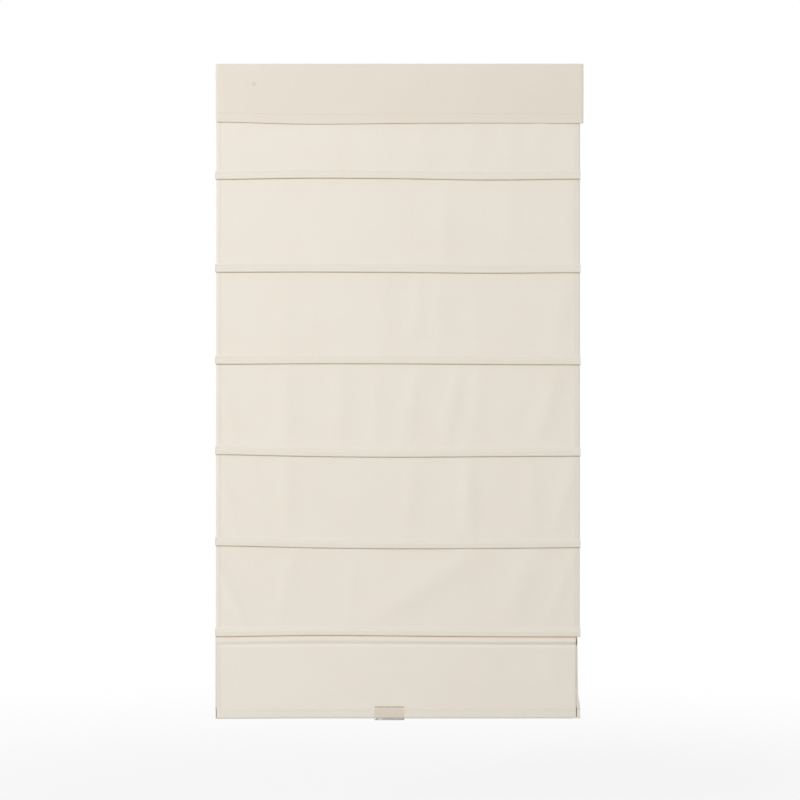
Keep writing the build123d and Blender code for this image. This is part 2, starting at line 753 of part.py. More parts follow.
# Bottom bar with its end caps
bar_bottom = hem_bottom + cloth_thickness + bar_cap_wall
screw_height = bar_bottom + bar_height / 2
handle_screw_x = [handle_offset - handle_screw_spacing / 2, handle_offset + handle_screw_spacing / 2]
bar_screw_places = [(x, screw_height) for x in [-cord_x, *handle_screw_x, cord_x]]
with BuildPart() as bottom_bar:
    with BuildSketch(side_view()):
        block((bar_back, bar_front), (bar_bottom, bar_bottom + bar_height))
    extrude(amount=bar_length / 2, both=True)
    with BuildSketch(Plane.XZ.offset(bar_back)):
        with Locations(bar_screw_places):
            RegularPolygon(screw_radius + thread_clearance, screw_sides)
    extrude(amount=bar_thickness, mode=Mode.SUBTRACT)
bottom_bar.part.label = "bottom_bar"
export_step(bottom_bar.part, "parts/bottom_bar.step")

for side, sign in sides.items():
    with BuildPart() as bar_end_cap:
        with BuildSketch(side_view(sign * (bar_length / 2 + bar_cap_wall))):
            block(
                (bar_back - bar_cap_wall, bar_front + bar_cap_wall),
                (bar_bottom - bar_cap_wall, bar_bottom + bar_height + bar_cap_wall),
            )
        extrude(amount=sign * bar_cap_length)
        with BuildSketch(side_view(sign * bar_length / 2)):
            block((bar_back, bar_front), (bar_bottom, bar_bottom + bar_height))
        extrude(amount=sign * bar_cap_length, mode=Mode.SUBTRACT)
    bar_end_cap.part.label = f"bar_end_cap_{side}"
    export_step(bar_end_cap.part, f"parts/bar_end_cap_{side}.step")

# Hem pocket: the cloth goes round the bar and is sewn to itself above it
with BuildPart() as bottom_hem:
    with BuildSketch(side_view()) as hem_section:
        seam_depth = cloth_back - cloth_thickness
        shoulder = bar_bottom + bar_height + bar_cap_wall + cloth_thickness
        with BuildLine():
            Polyline(
                [
                    (cloth_front, hem_top),
                    (cloth_front, hem_bottom),
                    (pocket_back, hem_bottom),
                    (pocket_back, shoulder),
                    (seam_depth, hem_top),
                ],
                close=True,
            )
        make_face()
        fillet(hem_section.vertices().group_by(Axis.Y)[0], cloth_thickness)
        with BuildLine():
            Polyline(
                [
                    (cloth_back, hem_bottom + cloth_thickness),
                    (pocket_back + cloth_thickness, hem_bottom + cloth_thickness),
                    (pocket_back + cloth_thickness, shoulder - cloth_thickness),
                    (cloth_back, hem_top - cloth_thickness),
                ],
                close=True,
            )
        make_face(mode=Mode.SUBTRACT)
    extrude(amount=blind_width / 2, both=True)
    with BuildSketch(Plane.XZ.offset(pocket_back)):
        with Locations(bar_screw_places):
            RegularPolygon(screw_radius + screw_clearance, screw_sides)
    extrude(amount=cloth_thickness, mode=Mode.SUBTRACT)
bottom_hem.part.label = "bottom_hem"
export_step(bottom_hem.part, "parts/bottom_hem.step")

# Cord cleats: a head that the cord is knotted in and a tail screwed to the bar behind the hem
for side, sign in sides.items():
    with BuildPart() as cord_cleat:
        with BuildSketch(side_view(sign * cord_x)):
            block(
                (cord_depth - cleat_head_depth / 2, cord_depth + cleat_head_depth / 2),
                (cleat_head_bottom, cleat_head_top),
            )
            block(
                (pocket_back - cleat_thickness, pocket_back),
                (cleat_head_bottom - cleat_tail_height, cleat_head_bottom),
            )
        extrude(amount=cleat_width / 2, both=True)
        chamfer(cord_cleat.edges().filter_by(Axis.Y).group_by(Axis.Z)[-1], cleat_corner)
        chamfer(cord_cleat.edges().filter_by(Axis.Y).group_by(Axis.Z)[0], cleat_corner)
        with BuildSketch(Plane.XY.offset(cleat_head_bottom)):
            with Locations((sign * cord_x, -cord_depth)):
                RegularPolygon(cord_radius + knot_clearance, small_sides)
        extrude(amount=cleat_head_height, mode=Mode.SUBTRACT)
        with BuildSketch(Plane.XY.offset(cleat_head_bottom)):
            with Locations((sign * cord_x, -cord_depth)):
                RegularPolygon(knot_radius + knot_clearance, small_sides)
        extrude(amount=knot_height + knot_clearance, mode=Mode.SUBTRACT)
        with BuildSketch(Plane.XZ.offset(pocket_back)):
            with Locations((sign * cord_x, screw_height)):
                RegularPolygon(screw_radius + screw_clearance, screw_sides)
        extrude(amount=-cleat_thickness, mode=Mode.SUBTRACT)
    cord_cleat.part.label = f"cord_cleat_{side}"
    export_step(cord_cleat.part, f"parts/cord_cleat_{side}.step")

# Pull handle: it wraps the hem from the front, under it and up behind, with a lip for the fingers
with BuildPart() as pull_handle:
    handle_bottom = hem_bottom - handle_drop
    handle_front = cloth_front + handle_wall
    lip_front = handle_front + handle_lip
    leg_back = pocket_back - handle_wall
    with BuildSketch(side_view(handle_offset)) as handle_section:
        block((cloth_front, handle_front), (handle_bottom, handle_bottom + handle_height))
        block((leg_back, lip_front), (handle_bottom, handle_bottom + handle_floor))
        block((leg_back, pocket_back), (handle_bottom, handle_bottom + handle_back_height))
        block((lip_front - handle_wall, lip_front), (handle_bottom, handle_bottom + handle_lip_rise))
        fillet(handle_section.vertices().group_by(Axis.Y)[0], handle_edge_radius)
    extrude(amount=handle_width / 2, both=True)
    fillet(pull_handle.edges().filter_by(Axis.Y).group_by(Axis.Z)[-1], handle_corner_radius)
    with BuildSketch(Plane.XZ.offset(pocket_back)):
        with Locations([(x, screw_height) for x in handle_screw_x]):
            RegularPolygon(screw_radius + screw_clearance, screw_sides)
    extrude(amount=-handle_wall, mode=Mode.SUBTRACT)
pull_handle.part.label = "pull_handle"
export_step(pull_handle.part, "parts/pull_handle.step")

# Screws into the bottom bar: two for the cleats, two for the handle
with BuildPart() as bar_screws:
    for screw_x, seat in (
        (-cord_x, pocket_back - cleat_thickness),
        (handle_screw_x[0], leg_back),
        (handle_screw_x[1], leg_back),
        (cord_x, pocket_back - cleat_thickness),
    ):
        with BuildSketch(Plane.XZ.offset(seat)):
            with Locations((screw_x, screw_height)):
                RegularPolygon(screw_head_radius, screw_sides)
        extrude(amount=-screw_head_height)
        with BuildSketch(Plane.XZ.offset(seat)):
            with Locations((screw_x, screw_height)):
                RegularPolygon(screw_radius, screw_sides)
        extrude(amount=bar_screw_length)
bar_screws.part.label = "bar_screws"
export_step(bar_screws.part, "parts/bar_screws.step")
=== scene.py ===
# %% [markdown]
# A cordless roman blind, fully lowered. The cloth is one hemmed sheet with six tucks that hang to
# the front, each with a rod in it, and a weighted hem. A valance covers the head rail. The rigid
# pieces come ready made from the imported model. This lesson dresses them, and makes the cloth,
# cords, rings, rods and screws in their real shapes around them.

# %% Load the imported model
import math
import bpy
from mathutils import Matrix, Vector


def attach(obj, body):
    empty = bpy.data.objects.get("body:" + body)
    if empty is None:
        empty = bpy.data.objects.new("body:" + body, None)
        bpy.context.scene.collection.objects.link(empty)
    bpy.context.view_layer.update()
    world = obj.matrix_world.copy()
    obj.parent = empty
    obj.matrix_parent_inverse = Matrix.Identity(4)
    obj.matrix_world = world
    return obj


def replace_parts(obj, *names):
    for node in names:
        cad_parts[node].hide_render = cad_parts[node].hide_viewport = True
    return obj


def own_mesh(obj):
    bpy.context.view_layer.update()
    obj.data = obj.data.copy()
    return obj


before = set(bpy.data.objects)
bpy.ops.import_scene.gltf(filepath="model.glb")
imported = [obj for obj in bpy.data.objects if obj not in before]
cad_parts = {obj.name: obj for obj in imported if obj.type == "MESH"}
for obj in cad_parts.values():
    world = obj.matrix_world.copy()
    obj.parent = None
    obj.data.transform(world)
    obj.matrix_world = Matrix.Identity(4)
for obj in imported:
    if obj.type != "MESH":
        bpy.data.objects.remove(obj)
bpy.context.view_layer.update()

MM = 0.001

# %% [markdown]
# The camera stands straight in front, level with the blind's middle, and far away, so that the
# picture is almost free of perspective, as a catalogue picture of a blind is. One pixel of the
# picture is 2.48 mm on the cloth. The lens follows from that and from the distance.

# %% The camera
def put(name, data):
    """Puts a camera, a lamp or a mesh into the scene."""
    made = bpy.data.objects.new(name, data)
    bpy.context.scene.collection.objects.link(made)
    return made


PIXEL = 2.4806 * MM
CAMERA_DISTANCE = 6.0
CLOTH_FRONT = 47.6
VIEW_X, VIEW_HEIGHT = 4.2, -816.7
PICTURE_WIDTH, SENSOR_WIDTH = 800, 36

camera_data = bpy.data.cameras.new("camera")
camera_data.sensor_width = SENSOR_WIDTH
camera_data.lens = SENSOR_WIDTH * CAMERA_DISTANCE / (PICTURE_WIDTH * PIXEL)
camera_data.clip_end = 50
camera = put("camera", camera_data)
camera.location = (VIEW_X * MM, -CLOTH_FRONT * MM - CAMERA_DISTANCE, VIEW_HEIGHT * MM)
camera.rotation_euler = (math.radians(90), 0, 0)
bpy.context.scene.camera = camera
print("lens:", round(camera_data.lens, 1), "mm")

# %% [markdown]
# Every colour below is a hex value as read in sRGB, the way a maker's colour card gives it. The
# shaders work in linear light, so one function turns the one into the other.
#
# A material is a small net of nodes. One function adds a node, sets its inputs and links it. A kind
# is named without the ShaderNode that all of them start with. An input goes by its name, or by its
# number where a node has more than one input of that name, as the Math and Map Range nodes have.

# %% Colours and nodes
def linear(hex_colour):
    """The linear red, green, blue and alpha of an sRGB hex colour."""
    channels = [int(hex_colour[i:i + 2], 16) / 255 for i in (0, 2, 4)]
    return tuple(c / 12.92 if c <= 0.04045 else ((c + 0.055) / 1.055) ** 2.4 for c in channels) + (1,)


def add(tree, kind, inputs=None, **settings):
    """Adds a node. A setting is a property of it. An input is a value, a node or a node's output."""
    node = tree.nodes.new("ShaderNode" + kind)
    for name, value in settings.items():
        setattr(node, name, value)
    for name, value in (inputs or {}).items():
        if isinstance(value, bpy.types.Node):
            value = value.outputs[0]
        if isinstance(value, bpy.types.NodeSocket):
            tree.links.new(value, node.inputs[name])
        else:
            node.inputs[name].default_value = value
    return node


def new_material(name):
    """An empty material, the net of nodes that it is made in, and the shaded point's place."""
    material = bpy.data.materials.new(name)
    material.use_nodes = True
    tree = material.node_tree
    tree.nodes.clear()
    return material, tree, add(tree, "TexCoord").outputs["Object"]


def ramp(tree, fac, stops):
    """A colour ramp with hex colours at their positions from 0 to 1."""
    node = add(tree, "ValToRGB", {"Fac": fac})
    elements = node.color_ramp.elements
    elements[0].position, elements[0].color = stops[0][0], linear(stops[0][1])
    elements[1].position, elements[1].color = stops[-1][0], linear(stops[-1][1])
    for position, colour in stops[1:-1]:
        elements.new(position).color = linear(colour)
    return node


print("cream as linear light:", [round(c, 3) for c in linear("E9E1D5")])

# %% [markdown]
# The light is that of a white studio. The world is an even white from all sides, which fills the
# shadows, and one large soft lamp stands high on the left, in front of the blind. It makes the
# upper left brightest and draws the thin shadow under each tuck. What the camera sees of the world,
# directly, in a reflection or through clear plastic, is pure white.
#
# The floor is white as well and keeps a weak shadow. Away from the blind it fades into the same pure
# white as the world, so that no horizon shows.

# %% The light and the floor
def ray_is(tree, *kinds):
    """1 for a ray of one of the kinds, and 0 for any other."""
    path = add(tree, "LightPath")
    found = 0.0
    for kind in kinds:
        found = add(tree, "Math", {0: found, 1: path.outputs[f"Is {kind} Ray"]}, operation="MAXIMUM")
    return found


# The rays by which the camera sees a thing, directly or not
SEEN = ("Camera", "Glossy", "Transmission")
AMBIENT = 0.47
world = bpy.data.worlds.new("studio")
bpy.context.scene.world = world
world.use_nodes = True
world_tree = world.node_tree
world_tree.nodes.clear()
strength = add(world_tree, "MapRange", {0: ray_is(world_tree, *SEEN), 3: AMBIENT, 4: 1.0})
background = add(world_tree, "Background", {"Color": (1, 1, 1, 1), "Strength": strength})
add(world_tree, "OutputWorld", {"Surface": background})

key_data = bpy.data.lights.new("key", "AREA")
key_data.shape = "DISK"
key_data.size = 2.3
key_data.energy = 610
key = put("key", key_data)
key.location = (-5.0, -7.5, 1.9)
key.rotation_euler = (Vector((0.0, 0, -0.6)) - key.location).to_track_quat("-Z", "Y").to_euler()
bpy.context.scene.view_settings.view_transform = "Standard"

FLOOR_HEIGHT, FLOOR_REACH = -1.9, 30
floor_mesh = bpy.data.meshes.new("floor")
corners = [(-1, -1), (1, -1), (1, 1), (-1, 1)]
floor_mesh.from_pydata([(x * FLOOR_REACH, y * FLOOR_REACH, FLOOR_HEIGHT) for x, y in corners], [],
                       [(0, 1, 2, 3)])
put("floor", floor_mesh)
floor_material, tree, place = new_material("white_floor")
pale = add(tree, "BsdfDiffuse", {"Color": linear("D8D8D6")})
glow = add(tree, "Emission", {"Color": (1, 1, 1, 1), "Strength": 1.0})
distance = add(tree, "VectorMath", {0: place, 1: (0, 0, FLOOR_HEIGHT)}, operation="DISTANCE")
white_share = add(tree, "MapRange", {0: distance.outputs["Value"], 1: 0.8, 2: 3.5, 3: 0.85, 4: 1.0},
                  interpolation_type="SMOOTHSTEP")
share = add(tree, "Math", {0: ray_is(tree, *SEEN), 1: white_share}, operation="MULTIPLY")
mixed = add(tree, "MixShader", {0: share, 1: pale, 2: glow})
add(tree, "OutputMaterial", {"Surface": mixed})
floor_mesh.materials.append(floor_material)
print("lamp:", key_data.energy, "W, world:", AMBIENT)

# %% [markdown]
# The cloth is a plain cream canvas, woven from polyester yarn, piece dyed and pressed. The eye reads
# it as dry and matt, with a soft lift of light at grazing angles from its fibre ends, and very
# slightly uneven, because thick and thin places in the yarn make faint streaks both ways. It is thin
# enough to let some light through, so it looks duller wherever two layers lie on each other, as in
# the tucks and hems.
#
# In the deep of a fold, light bounces from cream to cream, and each bounce takes more blue out of
# it. That is why the line under each tuck is honey brown and not grey. A few bounces don't reach
# that, so the Ambient Occlusion node finds such places and tints them.
#
# The threads lie about 0.5 mm apart. That is finer than a pixel here, so the weave is drawn at
# 0.9 mm, which still shows in a near view. Two wave textures at right angles make it, and noise
# stretched along each of them makes the streaks.
#
# Painted shade darkens the cloth along its left edge, at the ends of the crease by its lower right
# edge and at its lower left corner, and a faint smudge is on the valance. Each is a soft spot of a
# darker colour at a place on the cloth.

# %% Cloth material
THREAD_PITCH = 0.9 * MM


def lines_apart(pitch):
    """The scale that sets a wave texture's lines a pitch in metres apart. At scale 1 it is pi / 10."""
    return math.pi / 10 / pitch


def spot(tree, place, x, z, half_width, half_height):
    """A soft mask, 1 at a place on the cloth and 0 outside its half width and height, all in mm."""
    away = add(tree, "VectorMath", {0: place, 1: (x * MM, 0, z * MM)}, operation="SUBTRACT")
    sized = add(tree, "VectorMath", {0: away, 1: (1000 / half_width, 0, 1000 / half_height)},
                operation="MULTIPLY")
    distance = add(tree, "VectorMath", {0: sized}, operation="LENGTH")
    return add(tree, "MapRange", {0: distance.outputs["Value"], 1: 0.5, 2: 1.0, 3: 1.0, 4: 0.0},
               interpolation_type="SMOOTHSTEP")


def canvas(name, deep, mid, light, through, spots=()):
    """Cream canvas from three hex colours. through is the share of light that passes a layer."""
    material, tree, place = new_material(name)
    # Thick and thin yarn: streaks about 60 mm long and 2 mm wide, in both directions, and clouds
    uneven = 0.0
    for scale in ((16, 16, 480), (480, 16, 16), (9, 9, 9)):
        stretched = add(tree, "Mapping", {"Vector": place, "Scale": scale})
        noise = add(tree, "TexNoise", {"Vector": stretched, "Scale": 1.0, "Detail": 2.0})
        uneven = add(tree, "Math", {0: uneven, 1: noise}, operation="ADD")
    third = add(tree, "Math", {0: uneven, 1: 1 / 3}, operation="MULTIPLY")
    colour = ramp(tree, third, [(0.3, deep), (0.5, mid), (0.7, light)])
    # Painted warm shade in the deep of the folds, and darker spots: painted shade at edges and creases, a
    # real smudge on the valance
    hidden = add(tree, "AmbientOcclusion", {"Distance": 0.010}, samples=8)
    tints = [ramp(tree, hidden.outputs["AO"], [(0.3, "FFD994"), (0.75, "FFFFFF")])]
    tints += [ramp(tree, spot(tree, place, *area), [(0.0, "FFFFFF"), (1.0, soil_and_shade)]) for area, soil_and_shade in spots]
    for tint in tints:
        colour = add(tree, "VectorMath", {0: colour, 1: tint}, operation="MULTIPLY")
    # The weave: one wave for the warp and one for the weft
    yarn = {"Vector": place, "Scale": lines_apart(THREAD_PITCH), "Distortion": 0.6, "Detail": 1.0,
            "Detail Scale": 2.0}
    waves = [add(tree, "TexWave", yarn, bands_direction=direction).outputs["Fac"] for direction in "XZ"]
    weave = add(tree, "Math", {0: waves[0], 1: waves[1]}, operation="MULTIPLY")
    bump = add(tree, "Bump", {"Height": weave, "Strength": 0.3, "Distance": 0.1 * MM})
    body = add(tree, "BsdfPrincipled", {
        "Base Color": colour, "Roughness": 0.92, "Normal": bump,
        "Specular IOR Level": 0.2, "Sheen Weight": 0.08, "Sheen Roughness": 0.5})
    light_through = add(tree, "BsdfTranslucent", {"Color": linear("F1E9DB")})
    mixed = add(tree, "MixShader", {0: through, 1: body, 2: light_through})
    add(tree, "OutputMaterial", {"Surface": mixed})
    return material


# Painted shade along the edges and creases, as x, z, half width and half height in mm, with its colour
EDGE_AND_CREASE_SHADE = [((-454.2, -800, 2.6, 2400), "D9C6A6"), ((442.2, -1417, 1.6, 13), "8A6F4A"),
             ((442.2, -1592, 1.6, 20), "8A6F4A"), ((-452.6, -1594, 3.0, 20), "B59A72")]
cream_canvas = canvas("cream_canvas", "EAE4D9", "EBE6DC", "ECE8DF", 0.16, EDGE_AND_CREASE_SHADE)
SMUDGE = [((-357, -34, 8, 7), "F6F2EB")]
# The valance is the same canvas in darker colours: painted shade, for the strip and rail behind it
shaded_valance_canvas = canvas("cream_canvas_valance_painted_shade", "E6DED2", "E7E0D4", "E8E2D6", 0.15, SMUDGE)
print("weave pitch:", THREAD_PITCH / MM, "mm")

# %% [markdown]
# All the cloth pieces are made the same way, as a sewing room makes them: a hemmed strip is bent
# along a folded line. The line says how the cloth runs from its top to its end, as depth in front of
# the wall and height. The strip says how it runs across, with its side hems turned to the back. Then
# a thickness of 0.5 mm is laid inside that surface. The alternative is cloth simulation, but a blind
# is held flat by rods and weights, and its few waves are given, so they are better drawn than found
# by chance. Sizes of the cloth are in millimetres until a point is placed.

# %% Sheet builder
LAYER = 0.5
SIDE_HEM = 12
HEM_GAP = 1.1


def spread(start, end, step):
    """Evenly spaced values from start to end, about a step apart."""
    count = max(1, round(abs(end - start) / step))
    return [start + (end - start) * i / count for i in range(count + 1)]


def turned_edge(edge, inward):
    """Stations of a side hem, from its raw edge behind to the fold. inward is 1 at the left edge."""
    behind = [(x, HEM_GAP) for x in spread(edge + inward * SIDE_HEM, edge + inward * HEM_GAP / 2, 3.5)]
    turn = [(edge + inward * HEM_GAP / 2 * (1 - math.sin(a)), HEM_GAP / 2 * (1 + math.cos(a)))
            for a in (math.radians(d) for d in (45, 90, 135))]
    return behind + turn


def plain_strip(left, right, step=7):
    """Stations across a cloth with cut ends: the place along the wall, and how far behind the face."""
    return [(x, 0) for x in spread(left, right, step)]


def sewn_groove(x, depth=0.15):
    """Stations of the shallow groove that a row of stitches pulls into the face."""
    return [(x - 1.6, 0), (x - 0.8, depth * 0.5), (x, depth), (x + 0.8, depth * 0.5), (x + 1.6, 0)]


def hemmed_strip(left, right):
    """Stations across a cloth with both side hems turned to the back and sewn down."""
    seam_left, seam_right = left + SIDE_HEM - 1, right - SIDE_HEM + 1
    face = plain_strip(left + HEM_GAP / 2, seam_left - 3) + sewn_groove(seam_left)
    face += plain_strip(seam_left + 5, seam_right - 5) + sewn_groove(seam_right)
    face += plain_strip(seam_right + 3, right - HEM_GAP / 2)
    return turned_edge(left, 1) + face + turned_edge(right, -1)[::-1]


def folded(points, step=1.5, long_step=9):
    """A folded line through (depth, height) points, close at its bends and wide on straights."""
    line = []
    for a, b in zip(points, points[1:]):
        a, b = Vector(a), Vector(b)
        length = (b - a).length
        use = long_step if length > 3 * long_step else max(step, length / 8)
        line += [tuple(a.lerp(b, t)) for t in spread(0, 1, min(1, use / length))[:-1]]
    return line + [tuple(points[-1])]


def outward(line):
    """The side that the face layer shows at each point: to the room where the line runs down."""
    found = []
    for i in range(len(line)):
        along = (Vector(line[min(i + 1, len(line) - 1)]) - Vector(line[max(i - 1, 0)])).normalized()
        found.append((-along.y, along.x))
    return found


def at(x, depth, height):
    """A point in the room, in metres, from its place along the wall, depth and height in mm."""
    return Vector((x, -depth, height)) * MM


def make_object(name, vertices, faces, material, body, crease=None):
    """A smooth mesh that rides on a body, in a material, sharp where past its crease."""
    mesh = bpy.data.meshes.new(name)
    mesh.from_pydata([tuple(v) for v in vertices], [], faces)
    mesh.polygons.foreach_set("use_smooth", [True] * len(mesh.polygons))
    if crease:
        mesh.set_sharp_from_angle(angle=math.radians(crease))
    mesh.materials.append(material)
    made = put(name, mesh)
    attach(made, body)
    return made


def settle(obj, crease=50):
    """Applies the object's modifiers, and keeps the edges sharp that are sharper than the crease."""
    solid = bpy.data.meshes.new_from_object(obj.evaluated_get(bpy.context.evaluated_depsgraph_get()))
    obj.modifiers.clear()
    obj.data = solid
    solid.name = obj.name
    solid.set_sharp_from_angle(angle=math.radians(crease))
    return obj


def cloth_sheet(name, strip, line, wave, material, body, stands_for):
    """Bends a strip along a folded line. wave takes and returns x, depth and height of a point."""
    vertices, faces = [], []
    for (depth, height), (side_depth, side_height) in zip(line, outward(line)):
        vertices += [at(*wave(x, depth - side_depth * behind, height - side_height * behind))
                     for x, behind in strip]
    across = len(strip)
    for j in range(len(line) - 1):
        for a in range(j * across, (j + 1) * across - 1):
            faces.append((a, a + across, a + across + 1, a + 1))
    made = make_object(name, vertices, faces, material, body)
    thickness = made.modifiers.new("thickness", "SOLIDIFY")
    thickness.thickness = LAYER * MM
    thickness.offset = -1
    settle(made)
    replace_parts(made, stands_for)
    return made


print("stations across a panel:", len(hemmed_strip(-450, 450)))

# %% [markdown]
# No fold of a real blind is a ruled line. Each rod bends a little and each seam has its own pull,
# so every tuck's edge rises and falls by a few millimetres. Five heights across the blind, from
# left to right, are enough to draw that line, joined by a smooth curve.

# %% Waves of the edges
TOP = 16.25
PANEL_DROPS = [284.9, 231.3, 227.3, 228.9, 226.8, 219.4, 204.7]
TUCK_BOTTOMS = [TOP - sum(PANEL_DROPS[:i + 1]) for i in range(6)]
STITCH_LINES = [bottom + 15 for bottom in TUCK_BOTTOMS]
HEM_BOTTOM = TOP - sum(PANEL_DROPS)
HEM_TOP = HEM_BOTTOM + 22
CLOTH_HEAD = 10.05
WAVE_REACH = 442
EDGE_WAVES = {
    "valance": (3.6, -1.6, 0.2, 1.0, 0.0),
    "head": (0.0, 0.0, 0.0, 0.0, 0.0),
    "tuck_1": (-1.1, 1.9, 0.6, -2.6, -0.6),
    "tuck_2": (-0.2, 0.5, -0.5, -2.4, -1.1),
    "tuck_3": (-0.9, 0.4, 0.1, -1.3, -2.4),
    "tuck_4": (4.0, -0.6, -2.5, -1.1, 0.0),
    "tuck_5": (4.7, -0.2, -2.5, -2.0, 0.2),
    "tuck_6": (-1.2, 1.9, 0.7, -1.2, -1.7),
    "hem": (-1.0, 0.1, 0.0, 0.0, 0.0),
}


def edge_wave(name, x):
    """How far the named edge lies above its mean line at x."""
    values = EDGE_WAVES[name]
    values = (values[0],) + values + (values[-1],)
    t = min(max((x + WAVE_REACH) / (2 * WAVE_REACH), 0), 1) * 4
    i = min(int(t), 3)
    t -= i
    p, q, r, s = values[i:i + 4]
    return q + ((r - p) * t + (2 * p - 5 * q + 4 * r - s) * t ** 2 + (3 * q - p - 3 * r + s) * t ** 3) / 2


print("tuck 5 at its left, middle and right:", [round(edge_wave("tuck_5", x), 1) for x in (-440, 0, 440)])

# %% [markdown]
# Between two rods the cloth hangs in soft upright waves, one or two millimetres deep, because its
# width at each rod differs slightly. They are plainest on the lower right. In the sixth panel the
# weight of the bar pulls slanting creases into both lower corners. Each wave here is a smooth bump
# with a place, a width, a lean and a depth, faded out at the rods, where the cloth is held straight.
# The first panel also bellies forward towards the valance.

# %% Drape of the panels
# For each panel: place along the wall, half width, lean per panel height, and depth
FOLDS = {
    1: [(62, 18, 0, 0.8), (186, 20, 0, 0.9), (275, 20, 0, 0.7), (352, 26, 0, 1.2)],
    2: [(-190, 30, 0, 0.6), (112, 22, 0, 1.0), (268, 22, 0, 0.7), (420, 16, 0, 0.7)],
    3: [(-277, 20, 0, 0.9), (-36, 20, 10, 0.8), (45, 18, -20, 0.7), (103, 20, 0, 0.8), (192, 20, -10, 0.7),
        (402, 22, -40, 1.1)],
    4: [(-425, 14, 60, 0.9), (-278, 22, 0, 1.4), (-148, 22, 0, 1.1), (-56, 22, 0, 1.0), (33, 20, -40, 1.4),
        (132, 18, -40, 1.4), (194, 20, -30, 1.1), (370, 24, -60, 1.9)],
    5: [(-425, 16, 60, 0.9), (-276, 20, 0, 1.4), (-100, 40, 0, 0.7), (30, 20, -20, 1.4), (174, 20, 10, 2.2),
        (330, 22, 0, 1.0), (412, 20, -60, 1.5)],
    6: [(-425, 14, 100, 1.8), (-277, 22, -50, 1.8), (-116, 16, -10, 0.9), (62, 60, -300, 3.3),
        (300, 35, -60, 2.0), (405, 16, -90, 1.1)],
    7: [(-50, 40, 0, 0.9), (215, 35, 0, 0.9), (380, 20, 0, 0.7)],
}
BELLY = 5.0


def drape(panel, x, s):
    """How far the cloth stands forward at x, s being the share of the way down the panel."""
    held = math.sin(math.pi * min(max(s, 0), 1)) ** 0.7
    total = BELLY if panel == 1 else 0.0
    for place, half_width, lean, depth in FOLDS[panel]:
        total += depth * math.exp(-((x - place - lean * (s - 0.5)) / half_width) ** 2)
    return total * held


print("deepest drape in panel 5:", round(max(drape(5, x, 0.5) for x in range(-450, 451, 10)), 2), "mm")

# %% [markdown]
# The face cloth is one sheet on the real blind. Here each panel between two seams is its own piece,
# because it rides on the rod above it and has to gather when the blind is lifted. A panel starts at
# the seam behind a tuck and ends behind the next one. The last panel rolls forward under the sixth
# tuck, back into a shallow valley and forward again. Its right edge is bent to the back, and the
# bent part widens towards the hem.

# %% Panels
PANEL_TOPS = [CLOTH_HEAD] + STITCH_LINES
PANEL_ENDS = STITCH_LINES + [HEM_TOP]
PANEL_LEFT, PANEL_RIGHT = -451.2, 450.6
# Each panel's left edge is that much further left than the one above
LEFT_DRIFT = 0.2
PANEL_BODIES = ["head"] + [f"fold_{rod}" for rod in range(1, 7)]
CREASE_X = 440.3


def panel_line(number):
    """The folded line of one panel, from the seam above it to the seam below it."""
    start, end = PANEL_TOPS[number - 1], PANEL_ENDS[number - 1]
    depth = CLOTH_FRONT - 0.3
    if number < 7:
        return folded([(depth, start), (depth, end + 1.5), (depth + 0.5, end + 0.2)])
    rolls = [(0, 0), (0.1, -15), (1.2, -17.5), (2.4, -20.5), (3.1, -24), (3.1, -27.5), (1.8, -30.5),
             (0.0, -33.5), (-0.9, -35.5), (-0.9, -37), (0.1, -39), (0.8, -42), (0.9, -47), (0.7, -58),
             (0.4, -80)]
    return folded([(depth + d, start + h) for d, h in rolls] + [(depth + 0.1, end)], step=1.2)


def panel_wave(number):
    """The function that gives one panel its edge lines and its drape."""
    above = f"tuck_{number - 1}" if number > 1 else "head"
    below = f"tuck_{number}" if number < 7 else "hem"
    top, end = PANEL_TOPS[number - 1], PANEL_ENDS[number - 1]

    def wave(x, depth, height):
        s = (top - height) / (top - end)
        lift = edge_wave(above, x) * (1 - s) + edge_wave(below, x) * s
        if number == 7:
            # The rolls are deeper on the right and fade out at the left edge
            strength = (1 + 0.3 * x / 450) * min(1, (x + 456) / 18)
            depth = CLOTH_FRONT - 0.3 + (depth - CLOTH_FRONT + 0.3) * strength
        if number == 7 and x > CREASE_X:
            # The bent edge leans further out towards the hem
            x = CREASE_X + (x - CREASE_X) * (1 + 0.75 * s + 1.3 * max(0, s - 0.8) / 0.2)
        return x, depth + drape(number, min(x, CREASE_X), s), height + lift

    return wave


def bent_edge():
    """Stations right of the crease, from the face back to the hem's raw edge."""
    return [(439.3, 0), (440.3, 0.1), (440.7, 0.8), (441.2, 1.3), (442.2, 1.5), (443.2, 1.4),
            (443.8, 1.5), (444.0, 2.0), (443.7, 2.5), (442.0, 2.6), (439.0, 2.6), (436.0, 2.5),
            (432.0, 2.3)]


panels = []
for number, body in enumerate(PANEL_BODIES, 1):
    left = PANEL_LEFT - LEFT_DRIFT * number - (0.6 if number == 7 else 0)
    right = PANEL_RIGHT - (0.4 if number == 6 else 0)
    strip = hemmed_strip(left, right)
    if number == 7:
        strip = turned_edge(left, 1) + plain_strip(left + HEM_GAP / 2, CREASE_X - 2) + bent_edge()
    panels.append(cloth_sheet(f"cloth_panel_{number}", strip, panel_line(number), panel_wave(number),
                              cream_canvas, body, f"face_panel_{number}"))
print("panels:", len(panels), "with", sum(len(p.data.polygons) for p in panels), "faces")

# %% [markdown]
# A tuck is a pocket. The cloth of the panel above comes forward over a shoulder, runs down the
# front, goes round the rod and up again behind. The shoulder faces up and catches the light as a
# thin bright line. Below it the pocket hangs with its face turned a trace downward, which makes the
# band look duller than the panels.

# %% Tucks
TUCK_LEFT, TUCK_RIGHT = -453.3, 451.9
ROD_RADIUS = 2.0
LOOP_RADIUS = 2.75
ROD_DEPTH = CLOTH_FRONT + 2.95
ROD_DROP = 12.05


